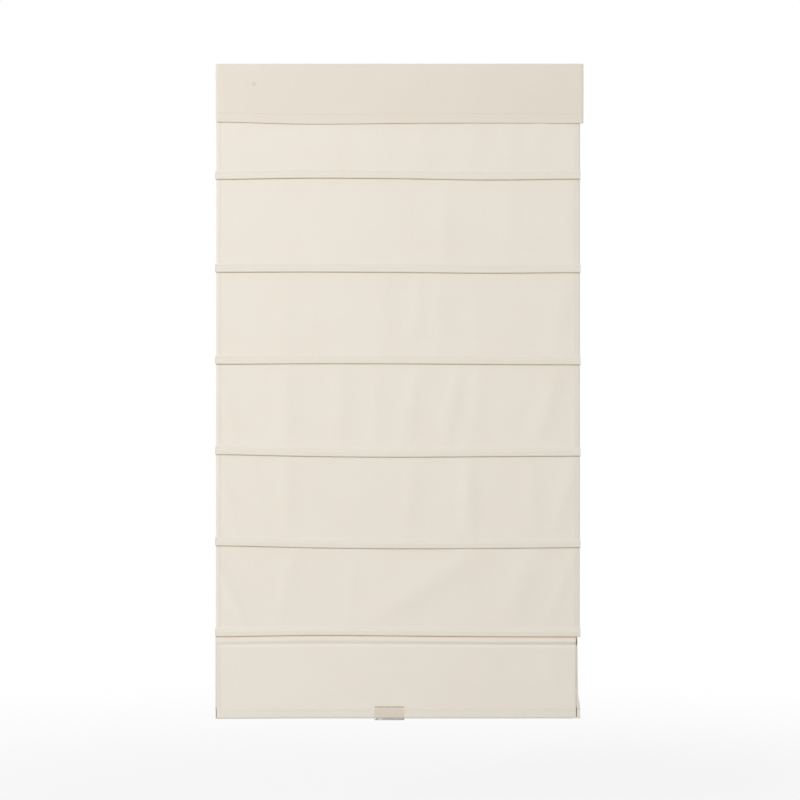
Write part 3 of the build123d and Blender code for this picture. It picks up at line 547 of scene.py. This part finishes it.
def tuck_line(stitch_line):
    """The folded line of a tuck: out over the shoulder, down, round the rod and up behind."""
    front = [(-0.35, 6.5), (0.2, 5.2), (1.0, 3.8), (2.0, 2.4), (3.2, 1.1), (4.6, -0.2), (5.8, -1.6),
             (6.2, -3.2), (6.1, -5.5), (5.75, -9.5)]
    points = [(CLOTH_FRONT + d, stitch_line + h) for d, h in front]
    for degrees in range(0, 181, 20):
        a = math.radians(degrees)
        points.append((ROD_DEPTH + LOOP_RADIUS * math.cos(a),
                       stitch_line - ROD_DROP - LOOP_RADIUS * math.sin(a)))
    back = [(0.35, -8), (0.4, -2), (0.6, 1.8)]
    return folded(points + [(CLOTH_FRONT + d, stitch_line + h) for d, h in back])


def tuck_wave(number):
    """A tuck follows its own edge line, and its front swells and sinks a little along the rod."""
    def wave(x, depth, height):
        swell = max(0, depth - CLOTH_FRONT - 4) * 0.08 * math.sin(x / 47 + number * 1.7)
        return x, depth + swell, height + edge_wave(f"tuck_{number}", x)

    return wave


tucks = [cloth_sheet(f"cloth_tuck_{number}", plain_strip(TUCK_LEFT, TUCK_RIGHT), tuck_line(stitch_line),
                     tuck_wave(number), cream_canvas, f"fold_{number}", f"tuck_{number}")
         for number, stitch_line in enumerate(STITCH_LINES, 1)]
print("tucks:", len(tucks), "with", sum(len(t.data.polygons) for t in tucks), "faces")

# %% [markdown]
# The valance is folded over a stiff strip that sits on three clips: a short turn down at the back,
# the flat fold on top, and a long drop in front of everything. It has side hems, and a turned hem
# at its lower edge. Its weight swings that edge back towards the blind, and it runs in a soft wave.

# %% Valance
VALANCE_LEFT, VALANCE_RIGHT = -452, 458.5
VALANCE_BOTTOM = TOP - 147.7
VALANCE_LEAN = 2.9
STRIP_HEIGHT = 37


def valance_line():
    """The folded line of the valance, from the turn down behind the strip to the hem."""
    back, front = 54.9, 58.7
    low_front, low_back = front - VALANCE_LEAN, front - VALANCE_LEAN - 1.3
    top, low = TOP - 0.1, VALANCE_BOTTOM
    return folded([
        (back, top - 29.7), (back, top - 0.8), (back + 0.25, top - 0.2), (back + 0.9, top),
        (front - 0.9, top), (front - 0.25, top - 0.2), (front, top - 0.9), (front, top - 9.6),
        (front - 0.3, top - 10.6), (front, top - 11.6), (front, top - STRIP_HEIGHT),
        (low_front + 0.4, low + 26), (low_front, low + 1.2), (low_front - 0.3, low + 0.3),
        (low_front - 0.8, low), (low_back + 0.3, low + 0.3), (low_back, low + 1.2),
        (low_back + 0.3, low + 24.5), (low_back + 0.5, low + 25)])


def valance_wave(x, depth, height):
    """The free edge's wave, growing from nothing at the strip's lower edge to its full size."""
    free_from = TOP - STRIP_HEIGHT
    s = min(max((free_from - height) / (free_from - VALANCE_BOTTOM), 0), 1)
    ripple = 0.25 * math.sin(x / 78 + 0.6) + 0.15 * math.sin(x / 41 + 2.0)
    return x, depth + ripple * s, height + edge_wave("valance", x) * s


valance = cloth_sheet("cloth_valance", hemmed_strip(VALANCE_LEFT, VALANCE_RIGHT), valance_line(),
                      valance_wave, shaded_valance_canvas, "head", "valance")
print("valance:", len(valance.data.polygons), "faces")

# %% [markdown]
# The hem pocket closes round the flat steel bar. Its front goes on from the last panel, runs under
# the bar and up behind it, and is sewn down along its upper edge. At both ends the cloth is creased,
# and on the right a flap of it stands out past the crease.

# %% Hem pocket
def hem_line():
    """The folded line of the pocket: down the front, under the bar, up behind and to the seam."""
    front, back, low = CLOTH_FRONT - 0.1, 41.0, HEM_BOTTOM + 0.1
    return folded([
        (front - 0.3, HEM_TOP + 0.2), (front, HEM_TOP - 2), (front + 0.1, low + 4.5),
        (front - 0.2, low + 2.6), (front - 1.0, low + 1.1), (front - 2.2, low + 0.2), (front - 3.0, low),
        (back + 1.2, low), (back + 0.4, low + 0.3), (back, low + 1.2), (back, low + 18),
        (back + 0.6, low + 19.2), (46.2, HEM_TOP - 0.6), (46.4, HEM_TOP + 1.5)])


def hem_wave(x, depth, height):
    """The pocket follows the line of its lower edge."""
    return x, depth, height + edge_wave("hem", x)


left_crease = [(-452.8, 0.3), (-450.6, 0.15), (-449.8, 0.6), (-449.1, 0.1)]
right_crease = [(440.6, 0.05), (441.2, 0.15), (441.7, 0.75), (442.3, 0.55), (445.0, 0.3), (448.0, 0.1),
                (451.3, 0.0)]
strip = left_crease + plain_strip(-448, 439) + right_crease
hem = cloth_sheet("cloth_hem", strip, hem_line(), hem_wave, cream_canvas, "bottom_rail",
                  "bottom_hem")
print("hem:", len(hem.data.polygons), "faces")

# %% [markdown]
# Every seam is a row of short stitches, about three to the centimetre. A stitch is a thread that
# comes up, lies on the cloth and goes down again, so each is a small spindle. A row is one mesh that
# follows points on the cloth: they are found with the same waves that bent the cloth. Two helpers
# serve all round shapes from here on: angles round a circle, and the faces between rings of points.

# %% Stitches
STITCH_PITCH = 3.3
STITCH_LENGTH = 2.6
STITCH_SIDES = 5
# The radius of the thread at shares of a stitch's length
STITCH_SHAPE = [(0.12, 0.14), (0.5, 0.2), (0.88, 0.14)]
thread_material = canvas("sewing_thread", "E9E0D2", "EFE7DA", "F4EDE1", 0.1)


def around(sides):
    """The cosine and sine of evenly spaced angles round a circle."""
    angles = [math.tau * i / sides for i in range(sides)]
    return [(math.cos(a), math.sin(a)) for a in angles]


def tube(rings, sides, first=0, closed=False):
    """The faces that join rings of points, with both ends filled unless it closes on itself."""
    count = rings * sides
    faces = []
    for start in range(0, count if closed else count - sides, sides):
        for i in range(sides):
            a, b = start + i, start + (i + 1) % sides
            faces.append((a, b, (b + sides) % count, (a + sides) % count))
    if not closed:
        faces += [tuple(range(sides - 1, -1, -1)), tuple(range(count - sides, count))]
    return [tuple(first + i for i in face) for face in faces]


def stitch_row(rows, name, body):
    """One mesh of stitches along rows of points. Each row is its points and the side it shows."""
    vertices, faces = [], []
    for points, out in rows:
        out = Vector(out)
        lengths = [0.0]
        for a, b in zip(points, points[1:]):
            lengths.append(lengths[-1] + (b - a).length)
        i = 0
        for k in range(int(lengths[-1] / MM / STITCH_PITCH)):
            start = (k + 0.1) * STITCH_PITCH * MM
            while lengths[i + 1] < start:
                i += 1
            along = (points[i + 1] - points[i]).normalized()
            comes_up = points[i] + along * (start - lengths[i])
            side = along.cross(out).normalized()
            faces += tube(len(STITCH_SHAPE), STITCH_SIDES, len(vertices))
            for share, radius in STITCH_SHAPE:
                rise = share * (1 - share) * 0.5
                middle = comes_up + along * share * STITCH_LENGTH * MM + out * rise * MM
                vertices += [middle + (side * c + out * s) * radius * MM for c, s in around(STITCH_SIDES)]
    return make_object(name, vertices, faces, thread_material, body)


def seam_line(wave, places, depth, heights):
    """Points on a cloth with its wave, at places along the wall and heights."""
    return [at(*wave(x, depth, z)) for x in places for z in heights]


ROOM, WALL = (0, -1, 0), (0, 1, 0)
seams = {}
for number, body in enumerate(PANEL_BODIES, 1):
    # The last panel's seams start below its rolls, and it has none along its bent right edge
    depth, gap_above, gap_below = (0.42, 42, 1) if number == 7 else (-0.28, 2, 6)
    top, end = PANEL_TOPS[number - 1] - gap_above, PANEL_ENDS[number - 1] + gap_below
    edges = [PANEL_LEFT - LEFT_DRIFT * number + SIDE_HEM - 1]
    if number < 7:
        edges.append(PANEL_RIGHT - SIDE_HEM + 1)
    rows = [(seam_line(panel_wave(number), [x], CLOTH_FRONT + depth, spread(top, end, 5)), ROOM)
            for x in edges]
    seams[f"panel_{number}"] = stitch_row(rows, f"seam_panel_{number}", body)
for number, stitch_line in enumerate(STITCH_LINES, 1):
    row = seam_line(tuck_wave(number), spread(-449, 449, 7), CLOTH_FRONT - 1.0, [stitch_line + 1])
    seams[f"tuck_{number}"] = stitch_row([(row, WALL)], f"seam_tuck_{number}", f"fold_{number}")
row = seam_line(valance_wave, spread(VALANCE_LEFT + 2, VALANCE_RIGHT - 2, 7), 56.95,
                [VALANCE_BOTTOM + 23.5])
seams["valance"] = stitch_row([(row, ROOM)], "seam_valance", "head")
rows = [(seam_line(hem_wave, spread(-451, right, 7), depth, [HEM_TOP - 1.8]), side)
        for right, depth, side in ((439, CLOTH_FRONT + 0.02, ROOM), (449, 43.9, WALL))]
seams["hem"] = stitch_row(rows, "seam_hem", "bottom_rail")
stitch_points = len(STITCH_SHAPE) * STITCH_SIDES
print("stitches:", sum(len(s.data.vertices) // stitch_points for s in seams.values()))

# %% [markdown]
# When the blind is lifted, each panel gathers between its two rods. Here each panel and its seams
# get a mesh of their own, and the panel's hanging height is found.


def gather(obj, number):
    """Gives a piece of the numbered panel a mesh of its own, and returns the panel's height."""
    height = PANEL_TOPS[number - 1] - PANEL_ENDS[number - 1]
    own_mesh(obj)
    return height


for number, panel in enumerate(panels, 1):
    height = gather(panel, number)
    gather(seams[f"panel_{number}"], number)
print("declared sheets:", len(panels) + len(tucks) + 2)

# %% [markdown]
# Round pieces are turned, as on a lathe: a profile of radius and distance goes round an axis. Cords,
# rods and rings are drawn: a circle follows points. These two tools make all the small hardware.

# %% Turning and drawing
def turned(name, profile, place, axis, material, body, closed=False, sides=24):
    """Turns a profile of (radius, distance along the axis) points, in mm, about an axis."""
    spin = Vector((0, 0, 1)).rotation_difference(Vector(axis)).to_matrix()
    vertices = [Vector(place) + spin @ Vector((radius * c, radius * s, distance)) * MM
                for radius, distance in profile for c, s in around(sides)]
    return make_object(name, vertices, tube(len(profile), sides, closed=closed), material, body, 40)


def drawn(paths, radius, name, material, body, closed=False, sides=10):
    """Draws a round section along one or more paths of points in metres, as one mesh."""
    vertices, faces = [], []
    for path in paths:
        faces += tube(len(path), sides, len(vertices), closed)
        side = None
        for i, point in enumerate(path):
            before = path[i - 1] if i or closed else path[0]
            after = path[(i + 1) % len(path)] if i < len(path) - 1 or closed else path[-1]
            along = (after - before).normalized()
            if side is None:
                side = along.orthogonal().normalized()
            side = (side - along * side.dot(along)).normalized()
            other = along.cross(side)
            vertices += [point + (side * c + other * s) * radius * MM for c, s in around(sides)]
    return make_object(name, vertices, faces, material, body, 60)


print("faces of a ring of 32 points with 10 sides:", len(tube(32, 10, closed=True)))

# %% [markdown]
# Plastics and metals. Moulded white plastic has a faint spark-eroded grain and soft edges. Natural
# acetal, which the gears and rollers are made of, is a little yellower and lets light in. The head
# rail and the bar are steel strip with white enamel, a glossy skin over a flat white. Zinc plate is
# a blotchy bright metal. Spring strip is darker and shows the lines of its rolling. The rods are
# glass fibre, drawn to length, so their fibres run along them.
#
# The real edges are rounded by a few tenths of a millimetre. The Bevel node shades them so.

# %% Hardware materials
def surface(name, deep, light, scale, grain=(1, 1, 1), bump=0.05, soft_edge=0.25, roughness=(0.4, 0.5),
            **finish):
    """A material between two hex colours, mottled by noise of a scale per metre, with soft edges."""
    material, tree, place = new_material(name)
    stretched = add(tree, "Mapping", {"Vector": place, "Scale": grain})
    noise = add(tree, "TexNoise", {"Vector": stretched, "Scale": scale, "Detail": 3.0})
    colour = ramp(tree, noise, [(0.3, deep), (0.7, light)])
    rough = add(tree, "MapRange", {0: noise, 3: roughness[0], 4: roughness[1]})
    edge = add(tree, "Bevel", {"Radius": soft_edge * MM}, samples=4)
    relief = add(tree, "Bump", {"Height": noise, "Strength": bump, "Distance": 0.1 * MM,
                                "Normal": edge})
    body = add(tree, "BsdfPrincipled", {"Base Color": colour, "Roughness": rough, "Normal": relief})
    for socket, value in finish.items():
        body.inputs[socket.replace("_", " ")].default_value = value
    add(tree, "OutputMaterial", {"Surface": body})
    return material


white_plastic = surface("moulded_white_plastic", "E6E6E2", "EDEDEA", 900, IOR=1.54)
acetal = surface("natural_acetal", "DDDACD", "E6E3D8", 700, IOR=1.48, Subsurface_Weight=0.15,
                 Subsurface_Scale=0.002)
board_plastic = surface("extruded_strip", "E2E2E0", "E9E9E7", 300, grain=(0.05, 1, 1), IOR=1.53)
rail_enamel = surface("rail_enamel", "E7E7E3", "ECECE9", 250, roughness=(0.32, 0.4), Coat_Weight=0.4,
                      Coat_Roughness=0.12)
bar_enamel = surface("bar_enamel", "E2E2DE", "E8E8E5", 250, roughness=(0.35, 0.45), Coat_Weight=0.3,
                     Coat_Roughness=0.2)
zinc = surface("zinc_plate", "B4B7B9", "D2D4D5", 160, bump=0.08, roughness=(0.28, 0.42), Metallic=1.0)
spring_steel = surface("spring_strip", "6E7074", "8C8F93", 500, grain=(0.04, 0.04, 2),
                       roughness=(0.22, 0.34), Metallic=1.0)
screw_zinc = surface("screw_zinc", "B2B4B6", "CBCDCF", 400, soft_edge=0.1, roughness=(0.25, 0.38),
                     Metallic=1.0)
glass_fibre = surface("glass_fibre", "DAD7CC", "E9E7DE", 700, grain=(0.02, 1, 1), bump=0.2, IOR=1.52)
print("materials so far:", len(bpy.data.materials))

# %% [markdown]
# Hook tape is a field of tiny stiff hooks and loop tape a mat of fine loops, so both are drawn as
# bumps about 1 mm apart. The cord is braided polyester, about 1.2 mm thick: two sets of strands
# cross at 45 degrees. Its real braid is 0.4 mm, too fine to see, so it is drawn at 0.8 mm.

# %% Tape and cord materials
def tape(name, deep, light, pitch, sharpness):
    """Hook or loop tape: cells of one pitch in mm, as a bump and a slight change of colour."""
    material, tree, place = new_material(name)
    cells = add(tree, "TexVoronoi", {"Vector": place, "Scale": 1000 / pitch})
    colour = ramp(tree, cells.outputs["Distance"], [(0.1, light), (0.7, deep)])
    relief = add(tree, "Bump", {"Height": cells.outputs["Distance"], "Strength": sharpness,
                                "Distance": 0.3 * MM}, invert=True)
    body = add(tree, "BsdfPrincipled", {"Base Color": colour, "Roughness": 0.75,
                                        "Normal": relief, "Sheen Weight": 0.2})
    add(tree, "OutputMaterial", {"Surface": body})
    return material


def braid(name, deep, light, pitch):
    """Braided cord: two waves that lean to both sides, the higher one on top."""
    material, tree, place = new_material(name)
    strands = []
    for lean in (45, -45):
        leaning = add(tree, "Mapping", {"Vector": place, "Rotation": (0, math.radians(lean), 0)})
        wave = add(tree, "TexWave", {"Vector": leaning, "Scale": lines_apart(pitch * MM)},
                   bands_direction="X")
        strands.append(wave.outputs["Fac"])
    top = add(tree, "Math", {0: strands[0], 1: strands[1]}, operation="MAXIMUM")
    colour = ramp(tree, top, [(0.2, deep), (0.9, light)])
    relief = add(tree, "Bump", {"Height": top, "Strength": 0.6, "Distance": 0.15 * MM})
    body = add(tree, "BsdfPrincipled", {"Base Color": colour, "Roughness": 0.6, "Normal": relief})
    add(tree, "OutputMaterial", {"Surface": body})
    return material


hook_tape = tape("hook_tape", "D2D2CC", "EDEDE9", 1.1, 0.8)
loop_tape = tape("loop_tape", "DCDCD6", "F0F0EC", 0.9, 0.5)
cord_braid = braid("braided_cord", "D6D2C8", "EFECE4", 0.8)
print("materials so far:", len(bpy.data.materials))

# %% [markdown]
# The pull handle and the valance clips are clear moulded polycarbonate. It takes almost no colour of
# its own, bends the light of what lies behind it, and shines at its edges. A trace of uneven flow in
# the mould ripples its faces. The handle's colour changes with the height: painted shade makes dark
# bands along its top and bottom, and a painted highlight a bright band just below its top.
#
# The light that falls on the cloth behind it is let straight through, because the renderer would
# otherwise leave the cloth there in a black shadow.

# %% Clear plastic
POLYCARBONATE_INDEX = 1.585


def clear(name, low, high, tints):
    """Clear moulded plastic with a faint ripple, and tints at shares of the way from low to high, which can
    paint bands of shade and highlight.
    """
    material, tree, place = new_material(name)
    flow = add(tree, "TexNoise", {"Vector": place, "Scale": 60.0, "Detail": 1.0})
    edge = add(tree, "Bevel", {"Radius": 0.4 * MM}, samples=4)
    relief = add(tree, "Bump", {"Height": flow, "Strength": 0.1, "Distance": 0.5 * MM, "Normal": edge})
    height = add(tree, "SeparateXYZ", {0: place})
    share = add(tree, "MapRange", {0: height.outputs["Z"], 1: low * MM, 2: high * MM})
    tint = ramp(tree, share, tints)
    body = add(tree, "BsdfPrincipled", {
        "Base Color": tint, "Roughness": 0.04, "IOR": POLYCARBONATE_INDEX,
        "Transmission Weight": 1.0, "Normal": relief})
    straight = add(tree, "BsdfTransparent", {"Color": linear("F8F6F3")})
    mixed = add(tree, "MixShader", {0: ray_is(tree, "Shadow", "Diffuse"), 1: body, 2: straight})
    add(tree, "OutputMaterial", {"Surface": mixed})
    return material


HANDLE_MIDDLE, HANDLE_WIDTH, HANDLE_BOTTOM, HANDLE_TOP = -21.9, 74.0, -1609.55, -1576.55
# The handle's tints: painted shade at its bottom and top, and a painted highlight just below the top
handle_plastic = clear("clear_polycarbonate_handle", HANDLE_BOTTOM, HANDLE_TOP, [
    (0.0, "A6A7B6"), (0.07, "A6A7B6"), (0.11, "F5F0E8"), (0.76, "F7F2EB"), (0.84, "FFFFFF"),
    (0.90, "FFFFFF"), (0.94, "B9AC9C"), (1.0, "B9AC9C")])
clip_plastic = clear("clear_polycarbonate_clips", -40, 20, [(0.0, "F6F4F0"), (1.0, "FAF8F5")])
print("clear plastic index:", POLYCARBONATE_INDEX)

# %% [markdown]
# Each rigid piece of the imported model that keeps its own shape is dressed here.

# %% Dressing the rigid pieces
def dress(material, *nodes):
    """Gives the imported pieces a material, on the object and not on its mesh."""
    for node in nodes:
        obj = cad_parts[node]
        if not obj.material_slots:
            obj.data.materials.append(None)
        for held in obj.material_slots:
            held.link = "OBJECT"
            held.material = material


dress(rail_enamel, "headrail")
dress(zinc, "bracket_left", "bracket_right")
dress(white_plastic, "lift_unit_case", "lift_unit_cover")
for side in ("left", "right"):
    dress(white_plastic, f"rail_end_cap_{side}", f"cord_guide_{side}", f"cord_cleat_{side}",
          f"bar_end_cap_{side}")
dress(acetal, "cord_spool_left", "cord_spool_right", "spring_drum_output", "spring_drum_storage")
dress(spring_steel, "lift_spring")
dress(board_plastic, "valance_board")
dress(bar_enamel, "bottom_bar")
dress(hook_tape, "hook_tape")
dress(loop_tape, "loop_tape")
dress(clip_plastic, "valance_clips")
print("dressed:", sum(1 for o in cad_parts.values() if not o.hide_render), "pieces")

# %% [markdown]
# The pull handle is one moulding of an even section: a leg behind the bar, a floor under the hem
# with a lip for the fingers, and a front wall with a thick bead along its top. Bead and corners are
# rounded and bend the light; the thin dark and bright lines that a clear edge shows are also painted
# into its colour as bands of shade and highlight. The shadow of a clear piece is hardly seen, so the
# handle casts none.

# %% Pull handle
# Its section as (depth, height above the bottom)
LEG = [(38.6, 16), (40.8, 16), (40.8, 2.2)]
FRONT_WALL = [(47.62, 2.2), (47.62, 33), (50.9, 33), (50.9, 29.6), (49.8, 28.2), (49.8, 2.2)]
LIP_AND_FLOOR = [(57.6, 2.2), (57.6, 3.2), (59.8, 3.2), (59.8, 0), (38.6, 0)]
ROUNDING = 0.5

section = LEG + FRONT_WALL + LIP_AND_FLOOR
vertices = [at(HANDLE_MIDDLE + side * HANDLE_WIDTH / 2, depth, HANDLE_BOTTOM + rise)
            for side in (1, -1) for depth, rise in section]
handle = make_object("clear_pull_handle", vertices, tube(2, len(section)), handle_plastic, "bottom_rail")
edges = handle.modifiers.new("rounded", "BEVEL")
edges.width, edges.segments, edges.limit_method = ROUNDING * MM, 3, "ANGLE"
settle(handle)
handle.visible_shadow = False
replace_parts(handle, "pull_handle")
print("handle faces:", len(handle.data.polygons))

# %% [markdown]
# A rod lies in each tuck. It is round, and bends by the few millimetres by which its tuck does.
# Two rings are sewn on behind it, each with three turns of thread round its wire.

# %% Rods and rings
CORD_X, CORD_DEPTH = 302.5, 40.3
RING_RADIUS, RING_WIRE, RING_DROP = 5.4, 0.8, 6.4
RING_THREAD = 0.16


def circle(middle, first, second, radius, count):
    """Points of a circle in mm round a point in metres, in the plane of two directions."""
    return [middle + (Vector(first) * c + Vector(second) * s) * radius * MM for c, s in around(count)]


for number, stitch_line in enumerate(STITCH_LINES, 1):
    body = f"fold_{number}"
    rod_line = [at(x, ROD_DEPTH, stitch_line - ROD_DROP + edge_wave(f"tuck_{number}", x))
                for x in [-448.5, -448.2] + spread(-440, 440, 20) + [448.2, 448.5]]
    rod = drawn([rod_line], ROD_RADIUS, f"rod_{number}", glass_fibre, body, sides=16)
    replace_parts(rod, f"batten_{number}")
    rings, threads = [], []
    for side in (-1, 1):
        middle = at(side * CORD_X, CORD_DEPTH, stitch_line - RING_DROP)
        rings.append(circle(middle, (1, 0, 0), (0, 1, 0), RING_RADIUS, 32))
        for turn in (-1.1, 0, 1.0):
            seat = middle + Vector((turn, -RING_RADIUS + turn * turn / 12, 0)) * MM
            threads.append(circle(seat, (0, 1, 0), (0.2, 0, 1), RING_WIRE + 0.3, 12))
    ring_pair = drawn(rings, RING_WIRE, f"rings_{number}", white_plastic, body,
                      closed=True)
    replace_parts(ring_pair, f"cord_rings_{number}")
    drawn(threads, RING_THREAD, f"ring_threads_{number}", thread_material, body, closed=True,
          sides=6)
print("rods:", len(STITCH_LINES), "rings:", 2 * len(STITCH_LINES))

# %% [markdown]
# A screw is turned, with a thread of ridges and a pan head, and its cross recess is cut with a
# tapered cross. One of a length is made, and the others are copies of it. Two hold the handle, one
# holds each cleat, and two each hold the lift unit and its cover.

# %% Screws
def cross_screw(length):
    """The vertices and faces of a pan head screw along Z, its head above zero, in mm."""
    crest, root, half_pitch = 1.28, 0.98, 0.4
    tip = [(0.25, -length), (0.8, -length + 0.8)]
    ridges = [(crest if i % 2 else root, -length + 1.2 + i * half_pitch)
              for i in range(int((length - 1.6) / half_pitch))]
    head = [(1.2, -0.2), (1.2, 0), (2.35, 0), (2.4, 0.15), (2.35, 0.6), (2.1, 1.0), (1.6, 1.27),
            (0.9, 1.38), (0.3, 1.4)]
    blank = turned("screw_blank", tip + ridges + head, (0, 0, 0), (0, 0, 1), screw_zinc, "head",
                   sides=20)
    # The cutter is a cross that gets narrower with its depth
    arm, half = 1.25, 0.28
    cross = [(arm, half), (half, half), (half, arm)]
    for i in range(9):
        cross.append((-cross[i][1], cross[i][0]))
    vertices = [Vector((x * s, y * s, z)) * MM for s, z in ((0.45, 0.35), (1.15, 1.7)) for x, y in cross]
    cutter = make_object("screw_cutter", vertices, tube(2, len(cross)), screw_zinc, "head")
    cut = blank.modifiers.new("recess", "BOOLEAN")
    cut.object, cut.solver = cutter, "EXACT"
    settle(blank, 40)
    shape = ([v.co.copy() for v in blank.data.vertices], [tuple(f.vertices) for f in blank.data.polygons])
    for spare in (blank, cutter):
        bpy.data.objects.remove(spare)
    return shape


def place_screws(name, length, seats, body, node):
    """A set of screws, each at its seat and with its head to a side, as one piece."""
    shape_vertices, shape_faces = cross_screw(length)
    vertices, faces = [], []
    for seat, axis in seats:
        spin = Vector((0, 0, 1)).rotation_difference(Vector(axis)).to_matrix()
        start = len(vertices)
        vertices += [seat + spin @ v for v in shape_vertices]
        faces += [tuple(start + i for i in face) for face in shape_faces]
    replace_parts(make_object(name, vertices, faces, screw_zinc, body, 40), node)


BAR_SCREW_HEIGHT, BAR_SCREW_LENGTH, UNIT_SCREW_LENGTH = -1597.65, 6, 8
CLEAT_BACK, LEG_BACK = 39.2, 38.6
UNIT_DEPTH, UNIT_SCREW_SPREAD = 24, 13.6
bar_seats = [(at(x, depth, BAR_SCREW_HEIGHT), WALL) for x, depth in (
    (-CORD_X, CLEAT_BACK), (-43.9, LEG_BACK), (0.1, LEG_BACK), (CORD_X, CLEAT_BACK))]
place_screws("handle_and_cleat_screws", BAR_SCREW_LENGTH, bar_seats, "bottom_rail", "bar_screws")
unit_seats = [(at(0, UNIT_DEPTH + offset, height), (0, 0, side))
              for offset in (-UNIT_SCREW_SPREAD, UNIT_SCREW_SPREAD)
              for height, side in ((8.75, 1), (-13.55, -1))]
place_screws("lift_unit_fixings", UNIT_SCREW_LENGTH, unit_seats, "head", "lift_unit_screws")
print("screws:", len(bar_seats) + len(unit_seats))

# %% [markdown]
# The lift cords. Each comes off its spool, runs along the rail, turns down over a grooved roller and
# drops through the rings to a knot in the cleat behind the hem. The line is a smooth curve through
# its route's points. The part in the rail stays as it is, and the drop gets shorter as the blind is
# lifted, so they are two pieces.

# %% Lift cords and rollers
CORD_RADIUS = 0.6
RUN_HEIGHT, ROLLER_X, ROLLER_HEIGHT = -2.05, 298.3, -6.25
SPOOL_X, SPOOL_DEPTH, WRAP_RADIUS = 45.0, 24.0, 11.8
DROP_DEPTH, CLEAT_HEIGHT = 40.37, -1584.75
# A smooth curve needs its points outside the spool between the two where it touches it
WRAP_ANGLES = (90, 112.5, 157.5, 202.5, 247.5, 268.98)
KNOT_SIZE, KNOT_STEPS = 0.34, 48
ROLLER_PROFILE = [(1.1, -1.2), (4.75, -1.2), (5.0, -1.0), (4.9, -0.8), (3.55, -0.35), (3.4, 0),
                  (3.55, 0.35), (4.9, 0.8), (5.0, 1.0), (4.75, 1.2), (1.1, 1.2)]
PIN_PROFILE = [(0.7, -2.5), (1.0, -2.2), (1.0, 2.2), (0.7, 2.5)]


def smooth_route(name, points):
    """The smooth line along a route's points, in metres, as a spline gives it."""
    curve = bpy.data.curves.new(name, "CURVE")
    curve.dimensions = "3D"
    curve.resolution_u = 10
    spline = curve.splines.new("NURBS")
    spline.points.add(len(points) - 1)
    for point, target in zip(spline.points, points):
        point.co = (*target, 1)
    spline.order_u = 3
    spline.use_endpoint_u = True
    holder = bpy.data.objects.new(name, curve)
    line = bpy.data.meshes.new_from_object(holder)
    route = [v.co.copy() for v in line.vertices]
    bpy.data.objects.remove(holder)
    return route


for side, sign in (("left", -1), ("right", 1)):
    wrap = []
    for degrees in WRAP_ANGLES:
        a = math.radians(degrees)
        touches = degrees in (WRAP_ANGLES[0], WRAP_ANGLES[-1])
        reach = WRAP_RADIUS if touches else WRAP_RADIUS / math.cos(math.radians(22.5))
        wrap.append(at(sign * (SPOOL_X + reach * math.cos(a)), SPOOL_DEPTH - reach * math.sin(a),
                       RUN_HEIGHT))
    to_roller = [at(sign * x, depth, z) for x, depth, z in (
        (52, 35.93, RUN_HEIGHT), (290, 40.15, RUN_HEIGHT), (ROLLER_X, CORD_DEPTH, RUN_HEIGHT),
        (300.0, 40.33, RUN_HEIGHT), (CORD_X, DROP_DEPTH, -4.5), (CORD_X, DROP_DEPTH, ROLLER_HEIGHT))]
    run_route = smooth_route(f"cord_run_{side}_route", wrap + to_roller)
    run = drawn([run_route], CORD_RADIUS, f"cord_run_{side}", cord_braid, "head")
    drop_route = smooth_route(f"cord_drop_{side}_route", [
        at(sign * CORD_X, DROP_DEPTH, z) for z in (ROLLER_HEIGHT, -14, -790, -1576, CLEAT_HEIGHT)])
    drop = drawn([drop_route], CORD_RADIUS, f"cord_drop_{side}", cord_braid, "head")
    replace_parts(run, f"lift_cord_{side}")
    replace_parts(drop, f"lift_cord_{side}")
    knot_line = []
    for i in range(KNOT_STEPS):
        a = math.tau * i / KNOT_STEPS
        knot_line.append(at(sign * CORD_X + KNOT_SIZE * (math.sin(a) + 2 * math.sin(2 * a)),
                            DROP_DEPTH + KNOT_SIZE * (math.cos(a) - 2 * math.cos(2 * a)),
                            CLEAT_HEIGHT + 1.2 - 0.5 * math.sin(3 * a)))
    knot = drawn([knot_line], 0.5, f"cord_knot_{side}", cord_braid, "bottom_rail", closed=True,
                 sides=8)
    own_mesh(drop)
    axle = at(sign * ROLLER_X, CORD_DEPTH, ROLLER_HEIGHT)
    roller = turned(f"roller_{side}", ROLLER_PROFILE, axle, ROOM, acetal, f"cord_roller_{side}",
                    closed=True, sides=36)
    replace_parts(roller, f"cord_roller_{side}")
    pin = turned(f"pin_{side}", PIN_PROFILE, axle, ROOM, screw_zinc, "head", sides=20)
    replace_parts(pin, f"roller_pin_{side}")
